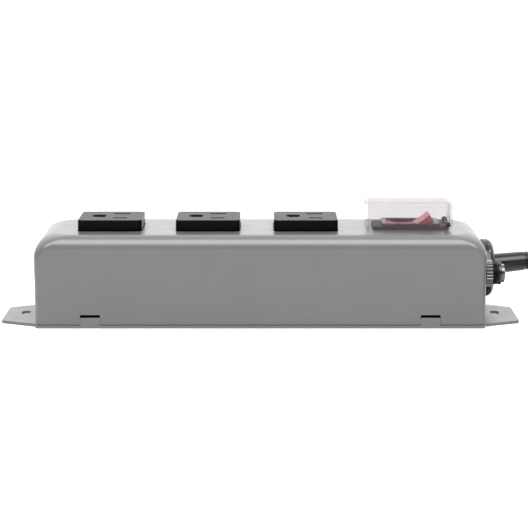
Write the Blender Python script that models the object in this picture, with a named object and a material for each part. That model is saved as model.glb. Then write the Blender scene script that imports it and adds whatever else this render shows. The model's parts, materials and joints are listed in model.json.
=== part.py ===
"""Three-outlet metal power strip with a guarded rocker switch, a push-to-reset breaker and a mains cord.

Frame: +X runs along the strip towards the cord, +Y to its back, +Z up. The origin lies under the middle of
the base plate, on the surface that the strip stands on. Lengths are in metres.
"""

import math

import bmesh
import bpy
from mathutils import Matrix, Vector

MM = 0.001
GAP = 0.3 * MM  # clearance between pieces that touch on the real strip
PAST = 2.0 * MM  # how far a cutter runs beyond the face that it opens

# Housing: a drawn steel cover on a flat steel base plate with a slotted ear at each end.
BODY_LENGTH = 235.8 * MM
BODY_DEPTH = 58.0 * MM
BODY_HEIGHT = 48.7 * MM
FRONT_RADIUS = 7.0 * MM  # of the top edges along the front and the back
END_RADIUS = 11.0 * MM  # of the top edges at the two ends
CORNER_RADII = (3.5 * MM, 10.0 * MM)  # of the upright corners, below and at the very top
SHEET = 1.2 * MM
PLATE_THICK = 1.6 * MM
COVER_BOTTOM = PLATE_THICK + GAP
PLATE_LEDGE = 0.4 * MM  # how far the plate shows in front of the cover and behind it
PLATE_CORNER = 2.0 * MM
EAR_LENGTH = 19.2 * MM
EAR_TIP_Y = (-17.9 * MM, 11.5 * MM)
EAR_ROOT_Y = (-25.6 * MM, 21.0 * MM)
EAR_SLOT_X = 126.6 * MM
EAR_SLOT_Y = -0.3 * MM
EAR_SLOT_WIDTH = 4.6 * MM
EAR_SLOT_LENGTH = 7.6 * MM
TAB_X = 89.0 * MM
TAB_WIDTH = 9.8 * MM
TAB_TOP = 5.6 * MM
NOTCH_WIDTH = TAB_WIDTH + 2 * GAP
NOTCH_TOP = 7.1 * MM
LUG_X = 110.5 * MM
LUG_SIZE = 12.0 * MM
LUG_THICK = 3.0 * MM
SCREW_HOLE_R = 1.9 * MM
SCREW_R = 1.6 * MM
SCREW_HEAD_R = 3.2 * MM
SCREW_END = 8.0 * MM
PLATE_HOLE_R = 3.5 * MM
EAR_CORNER = 1.6 * MM
LINER = (192.0 * MM, 46.0 * MM, 0.5 * MM)
LINER_X = 3.5 * MM

# Outlets: three snap-in sockets in a row, each with its earth hole towards the left end.
OUTLET_FIRST_X = -79.35 * MM
OUTLET_PITCH = 51.7 * MM
OUTLET_NAMES = ("left", "middle", "right")
FACE_LENGTH = 33.8 * MM
FACE_WIDTH = 27.3 * MM
FACE_RISE = 5.9 * MM
FACE_RADIUS = 2.6 * MM
SHOULDER_LENGTH = 38.0 * MM
SHOULDER_WIDTH = 31.0 * MM
OUTLET_BOTTOM = 27.7 * MM
BLADE_SPACING = 12.7 * MM
BLADE_X = 5.1 * MM
SLOT_WIDTH = 2.1 * MM
HOT_SLOT_LENGTH = 7.0 * MM
NEUTRAL_SLOT_LENGTH = 8.6 * MM
EARTH_X = -6.8 * MM
EARTH_HOLE = (6.4 * MM, 5.6 * MM)
EARTH_ROUNDING = 2.7 * MM
BLADE_POCKET = (11.0 * MM, 6.4 * MM)
EARTH_POCKET = (8.6 * MM, 8.6 * MM)
BLADE_CLIP = (9.0 * MM, 4.6 * MM)
EARTH_CLIP = (7.0 * MM, 6.8 * MM)
POCKET_TOP = 43.7 * MM
CONTACT_TOP = 42.7 * MM
CONTACT_BOTTOM = 26.7 * MM
STRIP_THICK = 0.8 * MM
BUS_TOP = CONTACT_BOTTOM - GAP
BUS_WIDTH = 5.0 * MM
BUS_RIGHT = 50.0 * MM
GROUND_BUS_LEFT = -93.0 * MM
STRAP_SCREW_X = -99.0 * MM
STRAP_WIDTH = 6.0 * MM
STRAP_FOOT = 10.5 * MM

# Rocker switch, its black frame and its clear flip-up guard.
SWITCH_X = 79.8 * MM
PIVOT_Z = 49.2 * MM
SWITCH_BODY = (28.4 * MM, 15.6 * MM)
SWITCH_FLANGE = (30.4 * MM, 17.8 * MM)
SWITCH_BOTTOM = 28.7 * MM
SWITCH_FLOOR = 2.0 * MM
WELL = (25.0 * MM, 13.0 * MM)
FRAME_BOTTOM = BODY_HEIGHT + GAP
FRAME_TOP = 50.6 * MM
FLANGE_TOP = 52.1 * MM
FRAME_SIZE = (40.0 * MM, 18.6 * MM)
FRAME_CORNER = 1.4 * MM
GUARD_CORNERS = (0.3 * MM, 1.0 * MM)
ROCKER_WIDTH = 12.4 * MM
ROCKER_REACH = 12.2 * MM
ROCKER_TILT = math.radians(12)
VALLEY = 1.6 * MM
CREST = (11.2 * MM, 4.8 * MM)
PIVOT_PIN_R = 1.0 * MM
PIVOT_PIN_HALF = 7.5 * MM
TERMINAL_HALF_WIDTH = 3.15 * MM
TERMINAL_BOTTOM = 19.7 * MM
ARM_HALF_WIDTH = 2.5 * MM
ARM_CLEAR = 0.1 * MM
PEG_HALF = 1.5 * MM
PEG_TOP = -3.5 * MM
PEG_END = -13.7 * MM
ARM_Z = 34.7 * MM
ARM_TILT = math.radians(6)
ARM_LENGTH = 18.0 * MM
LOAD_CONTACT_X = 8.2 * MM
GUARD_LEFT = 56.6 * MM
GUARD_RIGHT = 101.5 * MM
GUARD_DEPTH = 22.0 * MM
GUARD_TOP = 64.0 * MM
GUARD_WALL = 1.4 * MM
GUARD_END_WALL = 1.2 * MM
HINGE_X = 99.2 * MM
HINGE_Z = 51.3 * MM
BARREL_R = 1.5 * MM
GUARD_PIN_R = 0.6 * MM
LIP_LENGTH = 2.2 * MM
LIP_WIDTH = 18.0 * MM
LIP_STEP = 0.1 * MM

# Push-to-reset breaker in the right end, in front of the cord gland.
BREAKER_Y = -15.3 * MM
BREAKER_Z = 26.6 * MM
BREAKER_BODY = (29.0 * MM, 14.0 * MM, 21.0 * MM)
BUSHING_R = 6.05 * MM
BUSHING_END = 126.9 * MM
BUTTON_R = 4.85 * MM
BUTTON_EDGE = 0.8 * MM
BREAKER_TERMINAL_LENGTH = 9.0 * MM
BREAKER_TERMINAL_RISE = 5.5 * MM
BUTTON_START = 108.0 * MM
BUTTON_END = 129.5 * MM
NUT_R = 7.4 * MM
NUT_RIBS = 22
NUT_RIB_DEPTH = 0.45 * MM
NUT_LENGTH = 4.2 * MM

# Cord gland in the right end.
GLAND_Y = 8.3 * MM
GLAND_Z = 24.6 * MM
GLAND_BODY_R = 9.7 * MM
GLAND_BORE_R = 7.6 * MM
GLAND_INNER_END = 106.0 * MM
CAP_R = 15.7 * MM
CAP_END = 125.6 * MM
CAP_ROUNDING = 4.2 * MM
CAP_MOUTH_R = 8.2 * MM
CAP_LIP = 2.1 * MM
GASKET_THICK = 0.8 * MM
GASKET_R = 13.6 * MM
LOCKNUT_R = 13.0 * MM
LOCKNUT_LENGTH = 4.2 * MM

# Cord: a strain relief, a free stretch, a tied hank and a three-pin plug.
CORD_R = 4.6 * MM
RELIEF_START = Vector((121.0, 8.3, 26.1)) * MM
RELIEF_YAW = math.radians(8)
RELIEF_PITCH = math.radians(4)
RELIEF_LENGTH = 30.0 * MM
RELIEF_R = (5.6 * MM, 5.0 * MM)
HANK_LEFT = 213.0 * MM
HANK_Y = -4.0 * MM
HANK_RUN = 133.0 * MM
FOLD_R = 28.2 * MM
LEVEL_STEP = 9.3 * MM
LEVELS = 4
LOWEST_TURN_Z = 5.7 * MM
TIE_WIDTH = 12.0 * MM
TIE_THICK = 0.6 * MM
TIE_CORNER = 1.5 * MM
PLUG_Y = HANK_Y - FOLD_R
PLUG_FACE_X = 165.5 * MM
PLUG_HEAD = (34.0 * MM, 28.0 * MM, 26.6 * MM)
PLUG_Z = 13.6 * MM
PLUG_BLADES_Z = PLUG_Z + 5.0 * MM
PLUG_PIN_Z = PLUG_Z - 6.9 * MM
BOOT_END = Vector((221.8 * MM, PLUG_Y, 7.4 * MM))
BOOT_R = (7.6 * MM, 5.3 * MM)
BLADE_LENGTH = 17.5 * MM
BLADE_HALF = (0.75 * MM, 3.15 * MM)
PIN_R = 2.4 * MM
PIN_LENGTH = 20.0 * MM
PIN_NOSE = (3.0 * MM, 1.0 * MM)
PLUG_ROUNDING = 6.0 * MM
LEAD_R = 1.4 * MM

END_FACE_X = BODY_LENGTH / 2
END_INNER_X = END_FACE_X - SHEET
ROUND = 28  # sides of a turned piece

GREY_PAINT = ("grey_paint", (0.27, 0.27, 0.26), 0.42, 0.0)
PLATE_PAINT = ("plate_paint", (0.3, 0.3, 0.29), 0.45, 0.0)
ZINC = ("zinc_steel", (0.55, 0.55, 0.54), 0.35, 1.0)
BLACK_PLASTIC = ("black_plastic", (0.015, 0.015, 0.017), 0.38, 0.0)
BLACK_RUBBER = ("black_rubber", (0.02, 0.02, 0.02), 0.6, 0.0)
RED_PLASTIC = ("red_plastic", (0.45, 0.01, 0.03), 0.3, 0.0)
CLEAR_PLASTIC = ("clear_plastic", (0.85, 0.8, 0.8), 0.15, 0.0)
BRASS = ("brass", (0.7, 0.5, 0.2), 0.35, 1.0)
FIBRE = ("grey_fibre", (0.35, 0.34, 0.32), 0.8, 0.0)
WIRE_BLACK = ("black_insulation", (0.02, 0.02, 0.02), 0.5, 0.0)
WIRE_WHITE = ("white_insulation", (0.7, 0.7, 0.68), 0.5, 0.0)
WIRE_GREEN = ("green_insulation", (0.03, 0.25, 0.06), 0.5, 0.0)


def clear_scene():
    for obj in list(bpy.data.objects):
        bpy.data.objects.remove(obj, do_unlink=True)


def material_of(look):
    name, colour, roughness, metallic = look
    if name in bpy.data.materials:
        return bpy.data.materials[name]
    made = bpy.data.materials.new(name)
    made.use_nodes = True
    shader = made.node_tree.nodes["Principled BSDF"]
    shader.inputs["Base Color"].default_value = (*colour, 1.0)
    shader.inputs["Roughness"].default_value = roughness
    shader.inputs["Metallic"].default_value = metallic
    return made


def place(name, bm, look=None):
    """Turns a bmesh into an object. Without a look it is a cutter."""
    bmesh.ops.recalc_face_normals(bm, faces=bm.faces)
    mesh = bpy.data.meshes.new(name)
    bm.to_mesh(mesh)
    bm.free()
    obj = bpy.data.objects.new(name, mesh)
    bpy.context.scene.collection.objects.link(obj)
    if look:
        mesh.materials.append(material_of(look))
        mesh.shade_smooth()
        mesh.set_sharp_from_angle(angle=math.radians(35))
    else:
        obj.hide_render = True
        obj.display_type = "WIRE"
    return obj


def rounded(points, radius, steps=4):
    """A closed outline again, with each corner rounded. radius is one number, or one for each corner."""
    radii = radius if isinstance(radius, (list, tuple)) else [radius] * len(points)
    outline = []
    for i, here in enumerate(points):
        here = Vector(here)
        before = (Vector(points[i - 1]) - here).normalized()
        after = (Vector(points[(i + 1) % len(points)]) - here).normalized()
        half = before.angle(after) / 2
        if radii[i] <= 0:
            outline.append(here)
            continue
        centre = here + (before + after).normalized() * (radii[i] / math.sin(half))
        first = here + before * (radii[i] / math.tan(half)) - centre
        last = here + after * (radii[i] / math.tan(half)) - centre
        turn = first.angle_signed(last)
        for k in range(steps + 1):
            arm = first.copy()
            arm.rotate(Matrix.Rotation(-turn * k / steps, 2))
            outline.append(centre + arm)
    return [tuple(p) for p in outline]


def rectangle(centre, size):
    (x, y), (w, h) = centre, size
    return [(x - w / 2, y - h / 2), (x + w / 2, y - h / 2), (x + w / 2, y + h / 2), (x - w / 2, y + h / 2)]


def disc(centre, radius, sides=ROUND):
    angles = [2 * math.pi * k / sides for k in range(sides)]
    return [(centre[0] + radius * math.cos(a), centre[1] + radius * math.sin(a)) for a in angles]


def in_space(axis, flat, along):
    """A point of an outline that is drawn square to the axis: (y, z) for X, (x, z) for Y, (x, y) for Z."""
    place_of = {"X": (along, *flat), "Y": (flat[0], along, flat[1]), "Z": (*flat, along)}
    return place_of[axis]


def prism(name, outline, axis, start, end, look=None):
    bm = bmesh.new()
    first = [bm.verts.new(in_space(axis, p, start)) for p in outline]
    last = [bm.verts.new(in_space(axis, p, end)) for p in outline]
    bm.faces.new(first)
    bm.faces.new(last)
    for i in range(len(outline)):
        j = (i + 1) % len(outline)
        bm.faces.new((first[i], first[j], last[j], last[i]))
    return place(name, bm, look)


def box(name, low, high, look=None):
    outline = [(low[0], low[1]), (high[0], low[1]), (high[0], high[1]), (low[0], high[1])]
    return prism(name, outline, "Z", low[2], high[2], look)


def turned(name, profile, centre, axis, look=None, sides=ROUND):
    """A closed profile of (distance along the axis, radius) points, turned about an axis through centre."""
    bm = bmesh.new()
    rings = []
    for along, radius in profile:
        spots = [in_space(axis, p, along) for p in disc(centre, radius, sides if radius > 0 else 1)]
        rings.append([bm.verts.new(p) for p in spots])
    for i, ring in enumerate(rings):
        other = rings[(i + 1) % len(rings)]
        for k in range(sides):
            m = (k + 1) % sides
            corners = [ring[k % len(ring)], ring[m % len(ring)], other[m % len(other)], other[k % len(other)]]
            corners = list(dict.fromkeys(corners))
            if len(corners) > 2:
                bm.faces.new(corners)
    return place(name, bm, look)


def bar(name, start, end, radius, centre, axis, look=None, sides=ROUND):
    """A round solid bar along an axis."""
    return turned(name, [(start, 0), (start, radius), (end, radius), (end, 0)], centre, axis, look, sides)


def ring(name, start, end, inner, outer, centre, axis, look=None, sides=ROUND):
    profile = [(start, inner), (start, outer), (end, outer), (end, inner)]
    return turned(name, profile, centre, axis, look, sides)


def combine(target, others, operation):
    for other in others:
        other.hide_render = True
        other.display_type = "WIRE"
        boolean = target.modifiers.new(other.name, "BOOLEAN")
        boolean.operation = operation
        boolean.solver = "EXACT"
        boolean.object = other


def cut(target, *cutters):
    combine(target, cutters, "DIFFERENCE")


def join(target, *others):
    combine(target, others, "UNION")


def drawn_shell(name, inset, bottom, look=None, steps=8):
    """The cover's outer form, or a smaller one inside it: upright walls, rounded off towards a flat top.

    The ends are rounded more than the front and back, and the upright corners widen towards the top.
    """
    top = BODY_HEIGHT - inset
    end_radius, front_radius = END_RADIUS - inset, FRONT_RADIUS - inset
    lower, upper = (radius - inset for radius in CORNER_RADII)
    levels = [(bottom, 0.0)] + [(top - end_radius * (1 - math.sin(a)), math.sin(a))
                                for a in (math.pi / 2 * k / steps for k in range(steps + 1))]
    bm = bmesh.new()
    rings = []
    for z, share in levels:
        end_inset = end_radius * (1 - math.sqrt(1 - share * share))
        up = max(z - (top - front_radius), 0.0) / front_radius
        front_inset = front_radius * (1 - math.sqrt(max(1 - up * up, 0.0)))
        size = (BODY_LENGTH - 2 * (inset + end_inset), BODY_DEPTH - 2 * (inset + front_inset))
        outline = rounded(rectangle((0, 0), size), lower + (upper - lower) * share, 5)
        rings.append([bm.verts.new(in_space("Z", p, z)) for p in outline])
    count = len(rings[0])
    for below, above in zip(rings, rings[1:]):
        for k in range(count):
            m = (k + 1) % count
            bm.faces.new((below[k], below[m], above[m], above[k]))
    bm.faces.new(rings[0])
    bm.faces.new(rings[-1])
    return place(name, bm, look)


def smooth_route(points, count):
    """Evenly numbered points of a smooth curve through the given ones."""
    points = [Vector(p) for p in points]
    ends = [2 * points[0] - points[1], *points, 2 * points[-1] - points[-2]]
    route = []
    for n in range(count):
        at = n / (count - 1) * (len(points) - 1)
        i = min(int(at), len(points) - 2)
        t = at - i
        a, b, c, d = ends[i : i + 4]
        route.append(0.5 * (2 * b + (c - a) * t + (2 * a - 5 * b + 4 * c - d) * t * t
                            + (3 * b - a - 3 * c + d) * t ** 3))
    return route


def tube(name, route, radius, look, resolution=2):
    curve = bpy.data.curves.new(name, "CURVE")
    curve.dimensions = "3D"
    spline = curve.splines.new("POLY")
    spline.points.add(len(route) - 1)
    for point, spot in zip(spline.points, route):
        point.co = (*spot, 1.0)
    curve.bevel_depth = radius
    curve.bevel_resolution = resolution
    curve.use_fill_caps = True
    curve.materials.append(material_of(look))
    obj = bpy.data.objects.new(name, curve)
    bpy.context.scene.collection.objects.link(obj)
    return obj


def hang_on(pivot_name, pivot, *pieces):
    """Parents pieces to an empty that sits on their joint's axis, without moving them."""
    empty = bpy.data.objects.new(pivot_name, None)
    bpy.context.scene.collection.objects.link(empty)
    empty.location = pivot
    for piece in pieces:
        piece.parent = empty
        piece.matrix_parent_inverse = Matrix.Translation(-Vector(pivot))


def outlet_x(index):
    return OUTLET_FIRST_X + index * OUTLET_PITCH


def make_cover():
    cover = drawn_shell("housing_cover", 0.0, COVER_BOTTOM, GREY_PAINT)
    cut(cover, drawn_shell("cover_hollow", SHEET, COVER_BOTTOM - PAST))
    deep = BODY_HEIGHT - SHEET - PAST
    opening = (FACE_LENGTH + 2 * GAP, FACE_WIDTH + 2 * GAP)
    for index, side in enumerate(OUTLET_NAMES):
        outline = rounded(rectangle((outlet_x(index), 0), opening), FACE_RADIUS + GAP, 3)
        cut(cover, prism(f"opening_{side}", outline, "Z", deep, BODY_HEIGHT + PAST))
    outline = rectangle((SWITCH_X, 0), (SWITCH_BODY[0] + 2 * GAP, SWITCH_BODY[1] + 2 * GAP))
    cut(cover, prism("switch_opening", outline, "Z", deep, BODY_HEIGHT + PAST))
    wall = (END_INNER_X - PAST, END_FACE_X + PAST)
    cut(cover, bar("breaker_hole", *wall, BUSHING_R + GAP, (BREAKER_Y, BREAKER_Z), "X"))
    cut(cover, bar("gland_hole", *wall, GLAND_BODY_R + GAP, (GLAND_Y, GLAND_Z), "X"))
    for x in (-TAB_X, TAB_X):
        notch_low = (x - NOTCH_WIDTH / 2, -BODY_DEPTH, COVER_BOTTOM - PAST)
        notch_high = (x + NOTCH_WIDTH / 2, BODY_DEPTH, NOTCH_TOP)
        cut(cover, box(f"notch_{'left' if x < 0 else 'right'}", notch_low, notch_high))
    for side, name in ((-1, "left"), (1, "right")):
        edges = sorted((side * (LUG_X - LUG_SIZE / 2), side * (END_INNER_X + SHEET / 2)))
        lug_low = (edges[0], -LUG_SIZE / 2, COVER_BOTTOM)
        lug_high = (edges[1], LUG_SIZE / 2, COVER_BOTTOM + LUG_THICK)
        join(cover, box(f"lug_{name}", lug_low, lug_high))
        hole = (COVER_BOTTOM - PAST, COVER_BOTTOM + LUG_THICK + PAST)
        cut(cover, bar(f"lug_hole_{name}", *hole, SCREW_HOLE_R, (side * LUG_X, 0), "Z", sides=16))


def plate_outline():
    """The plate under the cover, widened at each end into a tapered ear."""
    x = BODY_LENGTH / 2
    y = BODY_DEPTH / 2 + PLATE_LEDGE
    tip = x + EAR_LENGTH
    ear = [(x, EAR_ROOT_Y[0]), (tip, EAR_TIP_Y[0]), (tip, EAR_TIP_Y[1]), (x, EAR_ROOT_Y[1])]
    right = [(x, -y), *ear, (x, y)]
    left = [(-px, py) for px, py in reversed(right)]
    radii = [PLATE_CORNER, 0, EAR_CORNER, EAR_CORNER, 0, PLATE_CORNER]
    return rounded(right + left, radii + radii[::-1], 3)


def make_base():
    plate = prism("base_plate", plate_outline(), "Z", 0, PLATE_THICK, PLATE_PAINT)
    reach = BODY_DEPTH / 2
    for side, name in ((-1, "left"), (1, "right")):
        slot = rectangle((side * EAR_SLOT_X, EAR_SLOT_Y), (EAR_SLOT_WIDTH, EAR_SLOT_LENGTH))
        slot = rounded(slot, EAR_SLOT_WIDTH / 2 - 0.01 * MM, 5)
        cut(plate, prism(f"ear_slot_{name}", slot, "Z", -PAST, PLATE_THICK + PAST))
        hole = disc((side * LUG_X, 0), PLATE_HOLE_R, 16)
        cut(plate, prism(f"plate_hole_{name}", hole, "Z", -PAST, PLATE_THICK + PAST))
        make_screw(f"cover_screw_{name}", side * LUG_X, 0)
        for front, end in ((-1, "front"), (1, "back")):
            ends = sorted((front * (reach - SHEET), front * reach))
            low = (side * TAB_X - TAB_WIDTH / 2, ends[0], 0)
            high = (side * TAB_X + TAB_WIDTH / 2, ends[1], TAB_TOP)
            join(plate, box(f"tab_{name}_{end}", low, high))
    strap_hole = disc((STRAP_SCREW_X, 0), SCREW_HOLE_R, 16)
    cut(plate, prism("strap_hole", strap_hole, "Z", -PAST, PLATE_THICK + PAST))
    length, width, thick = LINER
    outline = rectangle((LINER_X, 0), (length, width))
    prism("insulating_liner", outline, "Z", COVER_BOTTOM, COVER_BOTTOM + thick, FIBRE)


def make_screw(name, x, y):
    """A flat-head screw driven up through the plate into the cover's lug, its head flush with the plate."""
    head_start = 0.1 * MM
    head_end = 0.5 * MM
    tip_r = 1.0 * MM
    slot_half = 0.4 * MM
    profile = [(head_start, 0), (head_start, SCREW_HEAD_R), (head_end, SCREW_HEAD_R), (COVER_BOTTOM, SCREW_R),
               (SCREW_END - tip_r, SCREW_R), (SCREW_END, tip_r), (SCREW_END, 0)]
    screw = turned(name, profile, (x, y), "Z", ZINC, 16)
    low = (x - SCREW_HEAD_R, y - slot_half, -PAST)
    cut(screw, box(f"{name}_slot", low, (x + SCREW_HEAD_R, y + slot_half, head_end)))


def make_bonding():
    """The strap that bonds the earth bus to the base plate, and its screw."""
    thick = STRIP_THICK
    foot = COVER_BOTTOM
    near = GROUND_BUS_LEFT - GAP
    outline = [(near, BUS_TOP), (near - thick, BUS_TOP), (near - thick, foot + thick),
               (near - STRAP_FOOT, foot + thick), (near - STRAP_FOOT, foot), (near, foot)]
    strap = prism("bonding_strap", outline, "Y", -STRAP_WIDTH / 2, STRAP_WIDTH / 2, BRASS)
    cut(strap, bar("strap_bore", foot - PAST, foot + PAST, SCREW_HOLE_R, (STRAP_SCREW_X, 0), "Z", sides=16))
    head = foot + thick + GAP
    crown = head + 2.2 * MM
    tip = 0.2 * MM
    profile = [(tip, 0), (tip, SCREW_R), (head, SCREW_R), (head, SCREW_HEAD_R),
               (head + 1.4 * MM, SCREW_HEAD_R), (crown, 2.0 * MM), (crown, 0)]
    turned("ground_screw", profile, (STRAP_SCREW_X, 0), "Z", ZINC, 16)


def clip(name, x, y, length, width):
    """A spring contact: a strip bent into an upright U that grips a blade or a pin."""
    t = STRIP_THICK
    a, b = y - width / 2, y + width / 2
    low, top = CONTACT_BOTTOM, CONTACT_TOP
    outline = [(a, top), (a, low), (b, low), (b, top),
               (b - t, top), (b - t, low + t), (a + t, low + t), (a + t, top)]
    prism(name, outline, "X", x - length / 2, x + length / 2, BRASS)


def make_outlet(side, x):
    face_top = BODY_HEIGHT + FACE_RISE
    shoulder_top = BODY_HEIGHT - SHEET - GAP
    outline = rounded(rectangle((x, 0), (FACE_LENGTH, FACE_WIDTH)), FACE_RADIUS, 3)
    outlet = prism(f"outlet_{side}", outline, "Z", OUTLET_BOTTOM + PAST, face_top, BLACK_PLASTIC)
    shoulder = rectangle((x, 0), (SHOULDER_LENGTH, SHOULDER_WIDTH))
    join(outlet, prism(f"shoulder_{side}", shoulder, "Z", OUTLET_BOTTOM, shoulder_top))
    blades = (("hot", -1, HOT_SLOT_LENGTH), ("neutral", 1, NEUTRAL_SLOT_LENGTH))
    for pole, way, length in blades:
        y = way * BLADE_SPACING / 2
        slot = rectangle((x + BLADE_X, y), (length, SLOT_WIDTH))
        cut(outlet, prism(f"slot_{side}_{pole}", slot, "Z", POCKET_TOP - PAST, face_top + PAST))
        pocket = rectangle((x + BLADE_X, y), BLADE_POCKET)
        cut(outlet, prism(f"pocket_{side}_{pole}", pocket, "Z", OUTLET_BOTTOM - PAST, POCKET_TOP))
        clip(f"outlet_{side}_{pole}_contact", x + BLADE_X, y, *BLADE_CLIP)
    centre = (x + EARTH_X, 0)
    corners = [EARTH_ROUNDING, 0, 0, EARTH_ROUNDING]
    hole = rounded(rectangle(centre, EARTH_HOLE), corners, 4)
    cut(outlet, prism(f"slot_{side}_earth", hole, "Z", POCKET_TOP - PAST, face_top + PAST))
    pocket = rectangle(centre, EARTH_POCKET)
    cut(outlet, prism(f"pocket_{side}_earth", pocket, "Z", OUTLET_BOTTOM - PAST, POCKET_TOP))
    clip(f"outlet_{side}_ground_contact", *centre, *EARTH_CLIP)


def make_buses():
    bottom = BUS_TOP - STRIP_THICK
    first, last = outlet_x(0), outlet_x(len(OUTLET_NAMES) - 1)
    rails = (("hot_bus", -BLADE_SPACING / 2, first, BUS_RIGHT),
             ("neutral_bus", BLADE_SPACING / 2, first, BUS_RIGHT),
             ("ground_bus", 0.0, GROUND_BUS_LEFT, last))
    for name, y, left, right in rails:
        low = (left, y - BUS_WIDTH / 2, bottom)
        box(name, low, (right, y + BUS_WIDTH / 2, BUS_TOP), BRASS)


def tilted(outline, pivot, angle):
    """An outline in the XZ plane, relative to a pivot, turned so that +X goes down for a positive angle."""
    c, s = math.cos(angle), math.sin(angle)
    return [(pivot[0] + x * c + z * s, pivot[1] - x * s + z * c) for x, z in outline]


def rocker_outline():
    """A shallow V on top and round ends about the pivot, so the ends clear the well at any tilt."""
    start = math.atan2(CREST[1], CREST[0])
    stop = math.radians(-20)
    steps = 5
    angles = [start + (stop - start) * k / steps for k in range(steps + 1)]
    right = [(ROCKER_REACH * math.cos(a), ROCKER_REACH * math.sin(a)) for a in angles]
    left = [(-x, z) for x, z in reversed(right)]
    return [(0, VALLEY), *right, *left]


def make_switch():
    x = SWITCH_X
    case = rectangle((x, 0), SWITCH_BODY)
    body = prism("switch_housing", case, "Z", SWITCH_BOTTOM, FLANGE_TOP, BLACK_PLASTIC)
    flange = rounded(rectangle((x, 0), SWITCH_FLANGE), FRAME_CORNER, 3)
    join(body, prism("switch_flange", flange, "Z", FRAME_TOP + GAP, FLANGE_TOP))
    well_floor = SWITCH_BOTTOM + SWITCH_FLOOR
    cut(body, prism("switch_well", rectangle((x, 0), WELL), "Z", well_floor, FLANGE_TOP + PAST))
    pin_bore = PIVOT_PIN_R + GAP
    reach = SWITCH_BODY[1]
    cut(body, bar("pivot_bore", -reach, reach, pin_bore, (x, PIVOT_Z), "Y", sides=12))
    arm_top = ARM_Z - STRIP_THICK / 2 - GAP
    load_drop = LOAD_CONTACT_X * math.sin(ARM_TILT)
    terminals = (("line", 0.0, arm_top), ("load", LOAD_CONTACT_X, arm_top - load_drop - ARM_CLEAR))
    for name, offset, top in terminals:
        half = (STRIP_THICK / 2, TERMINAL_HALF_WIDTH)
        low = (x + offset - half[0], -half[1], TERMINAL_BOTTOM)
        box(f"switch_terminal_{name}", low, (x + offset + half[0], half[1], top), BRASS)
        opening = rectangle((x + offset, 0), (2 * (half[0] + GAP), 2 * (half[1] + GAP)))
        cut(body, prism(f"terminal_slot_{name}", opening, "Z", SWITCH_BOTTOM - PAST, well_floor + PAST))

    half_width = ROCKER_WIDTH / 2
    pivot = (x, PIVOT_Z)
    outline = tilted(rocker_outline(), pivot, -ROCKER_TILT)
    rocker = prism("rocker", outline, "Y", -half_width, half_width, RED_PLASTIC)
    cut(rocker, bar("rocker_bore", -reach, reach, pin_bore, pivot, "Y", sides=12))
    bar("rocker_pin", -PIVOT_PIN_HALF, PIVOT_PIN_HALF, PIVOT_PIN_R, pivot, "Y", ZINC, 12)
    peg = rectangle((0, (PEG_TOP + PEG_END) / 2), (2 * PEG_HALF, PEG_TOP - PEG_END))
    join(rocker, prism("rocker_peg", tilted(peg, pivot, -ROCKER_TILT), "Y", -PEG_HALF, PEG_HALF))

    strip = rectangle((0, 0), (ARM_LENGTH, STRIP_THICK))
    strip = tilted(strip, (x, ARM_Z), ARM_TILT)
    arm = prism("contact_arm", strip, "Y", -ARM_HALF_WIDTH, ARM_HALF_WIDTH, BRASS)
    hang_on("rocker_axis", (x, 0, PIVOT_Z), rocker)
    hang_on("contact_arm_axis", (x, 0, ARM_Z), arm)


def make_guard():
    x = SWITCH_X
    frame_outline = rounded(rectangle((x, 0), FRAME_SIZE), FRAME_CORNER, 3)
    frame = prism("guard_frame", frame_outline, "Z", FRAME_BOTTOM, FRAME_TOP, BLACK_PLASTIC)
    barrel_reach = FRAME_SIZE[1] / 2 - GAP
    hinge = (HINGE_X, HINGE_Z)
    join(frame, bar("guard_barrel", -barrel_reach, barrel_reach, BARREL_R, hinge, "Y", sides=16))
    opening = rectangle((x, 0), (SWITCH_BODY[0] + 2 * GAP, SWITCH_BODY[1] + 2 * GAP))
    cut(frame, prism("frame_opening", opening, "Z", FRAME_BOTTOM - PAST, FRAME_TOP + PAST))
    bore = GUARD_PIN_R + GAP
    cut(frame, bar("barrel_bore", -GUARD_DEPTH, GUARD_DEPTH, bore, hinge, "Y", sides=12))
    bar("guard_pin", -GUARD_DEPTH / 2, GUARD_DEPTH / 2, GUARD_PIN_R, hinge, "Y", ZINC, 12)

    knuckle = GUARD_RIGHT - HINGE_X
    side = [(GUARD_LEFT, HINGE_Z - knuckle), (GUARD_RIGHT, HINGE_Z - knuckle),
            (GUARD_RIGHT, GUARD_TOP), (GUARD_LEFT, GUARD_TOP)]
    foot_corner, top_corner = GUARD_CORNERS
    outline = rounded(side, [foot_corner, knuckle, top_corner, top_corner], 6)
    half_depth = GUARD_DEPTH / 2
    guard = prism("switch_guard", outline, "Y", -half_depth, half_depth, CLEAR_PLASTIC)
    hollow_low = (GUARD_LEFT + GUARD_END_WALL, GUARD_WALL - half_depth, HINGE_Z - knuckle - PAST)
    hollow_high = (GUARD_RIGHT - GUARD_END_WALL, half_depth - GUARD_WALL, GUARD_TOP - GUARD_WALL)
    cut(guard, box("guard_hollow", hollow_low, hollow_high))
    low = (HINGE_X - BARREL_R - GAP, GUARD_WALL - half_depth, HINGE_Z - 2 * knuckle)
    high = (GUARD_RIGHT + PAST, half_depth - GUARD_WALL, HINGE_Z + BARREL_R + GAP)
    cut(guard, box("barrel_room", low, high))
    cut(guard, bar("guard_bore", -GUARD_DEPTH, GUARD_DEPTH, bore, hinge, "Y", sides=12))
    lip_low = (GUARD_LEFT - LIP_LENGTH, -LIP_WIDTH / 2, GUARD_TOP - GUARD_WALL)
    lip_high = (GUARD_LEFT + GUARD_END_WALL, LIP_WIDTH / 2, GUARD_TOP - LIP_STEP)
    join(guard, box("guard_lip", lip_low, lip_high))
    hang_on("guard_axis", (HINGE_X, 0, HINGE_Z), guard)


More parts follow.
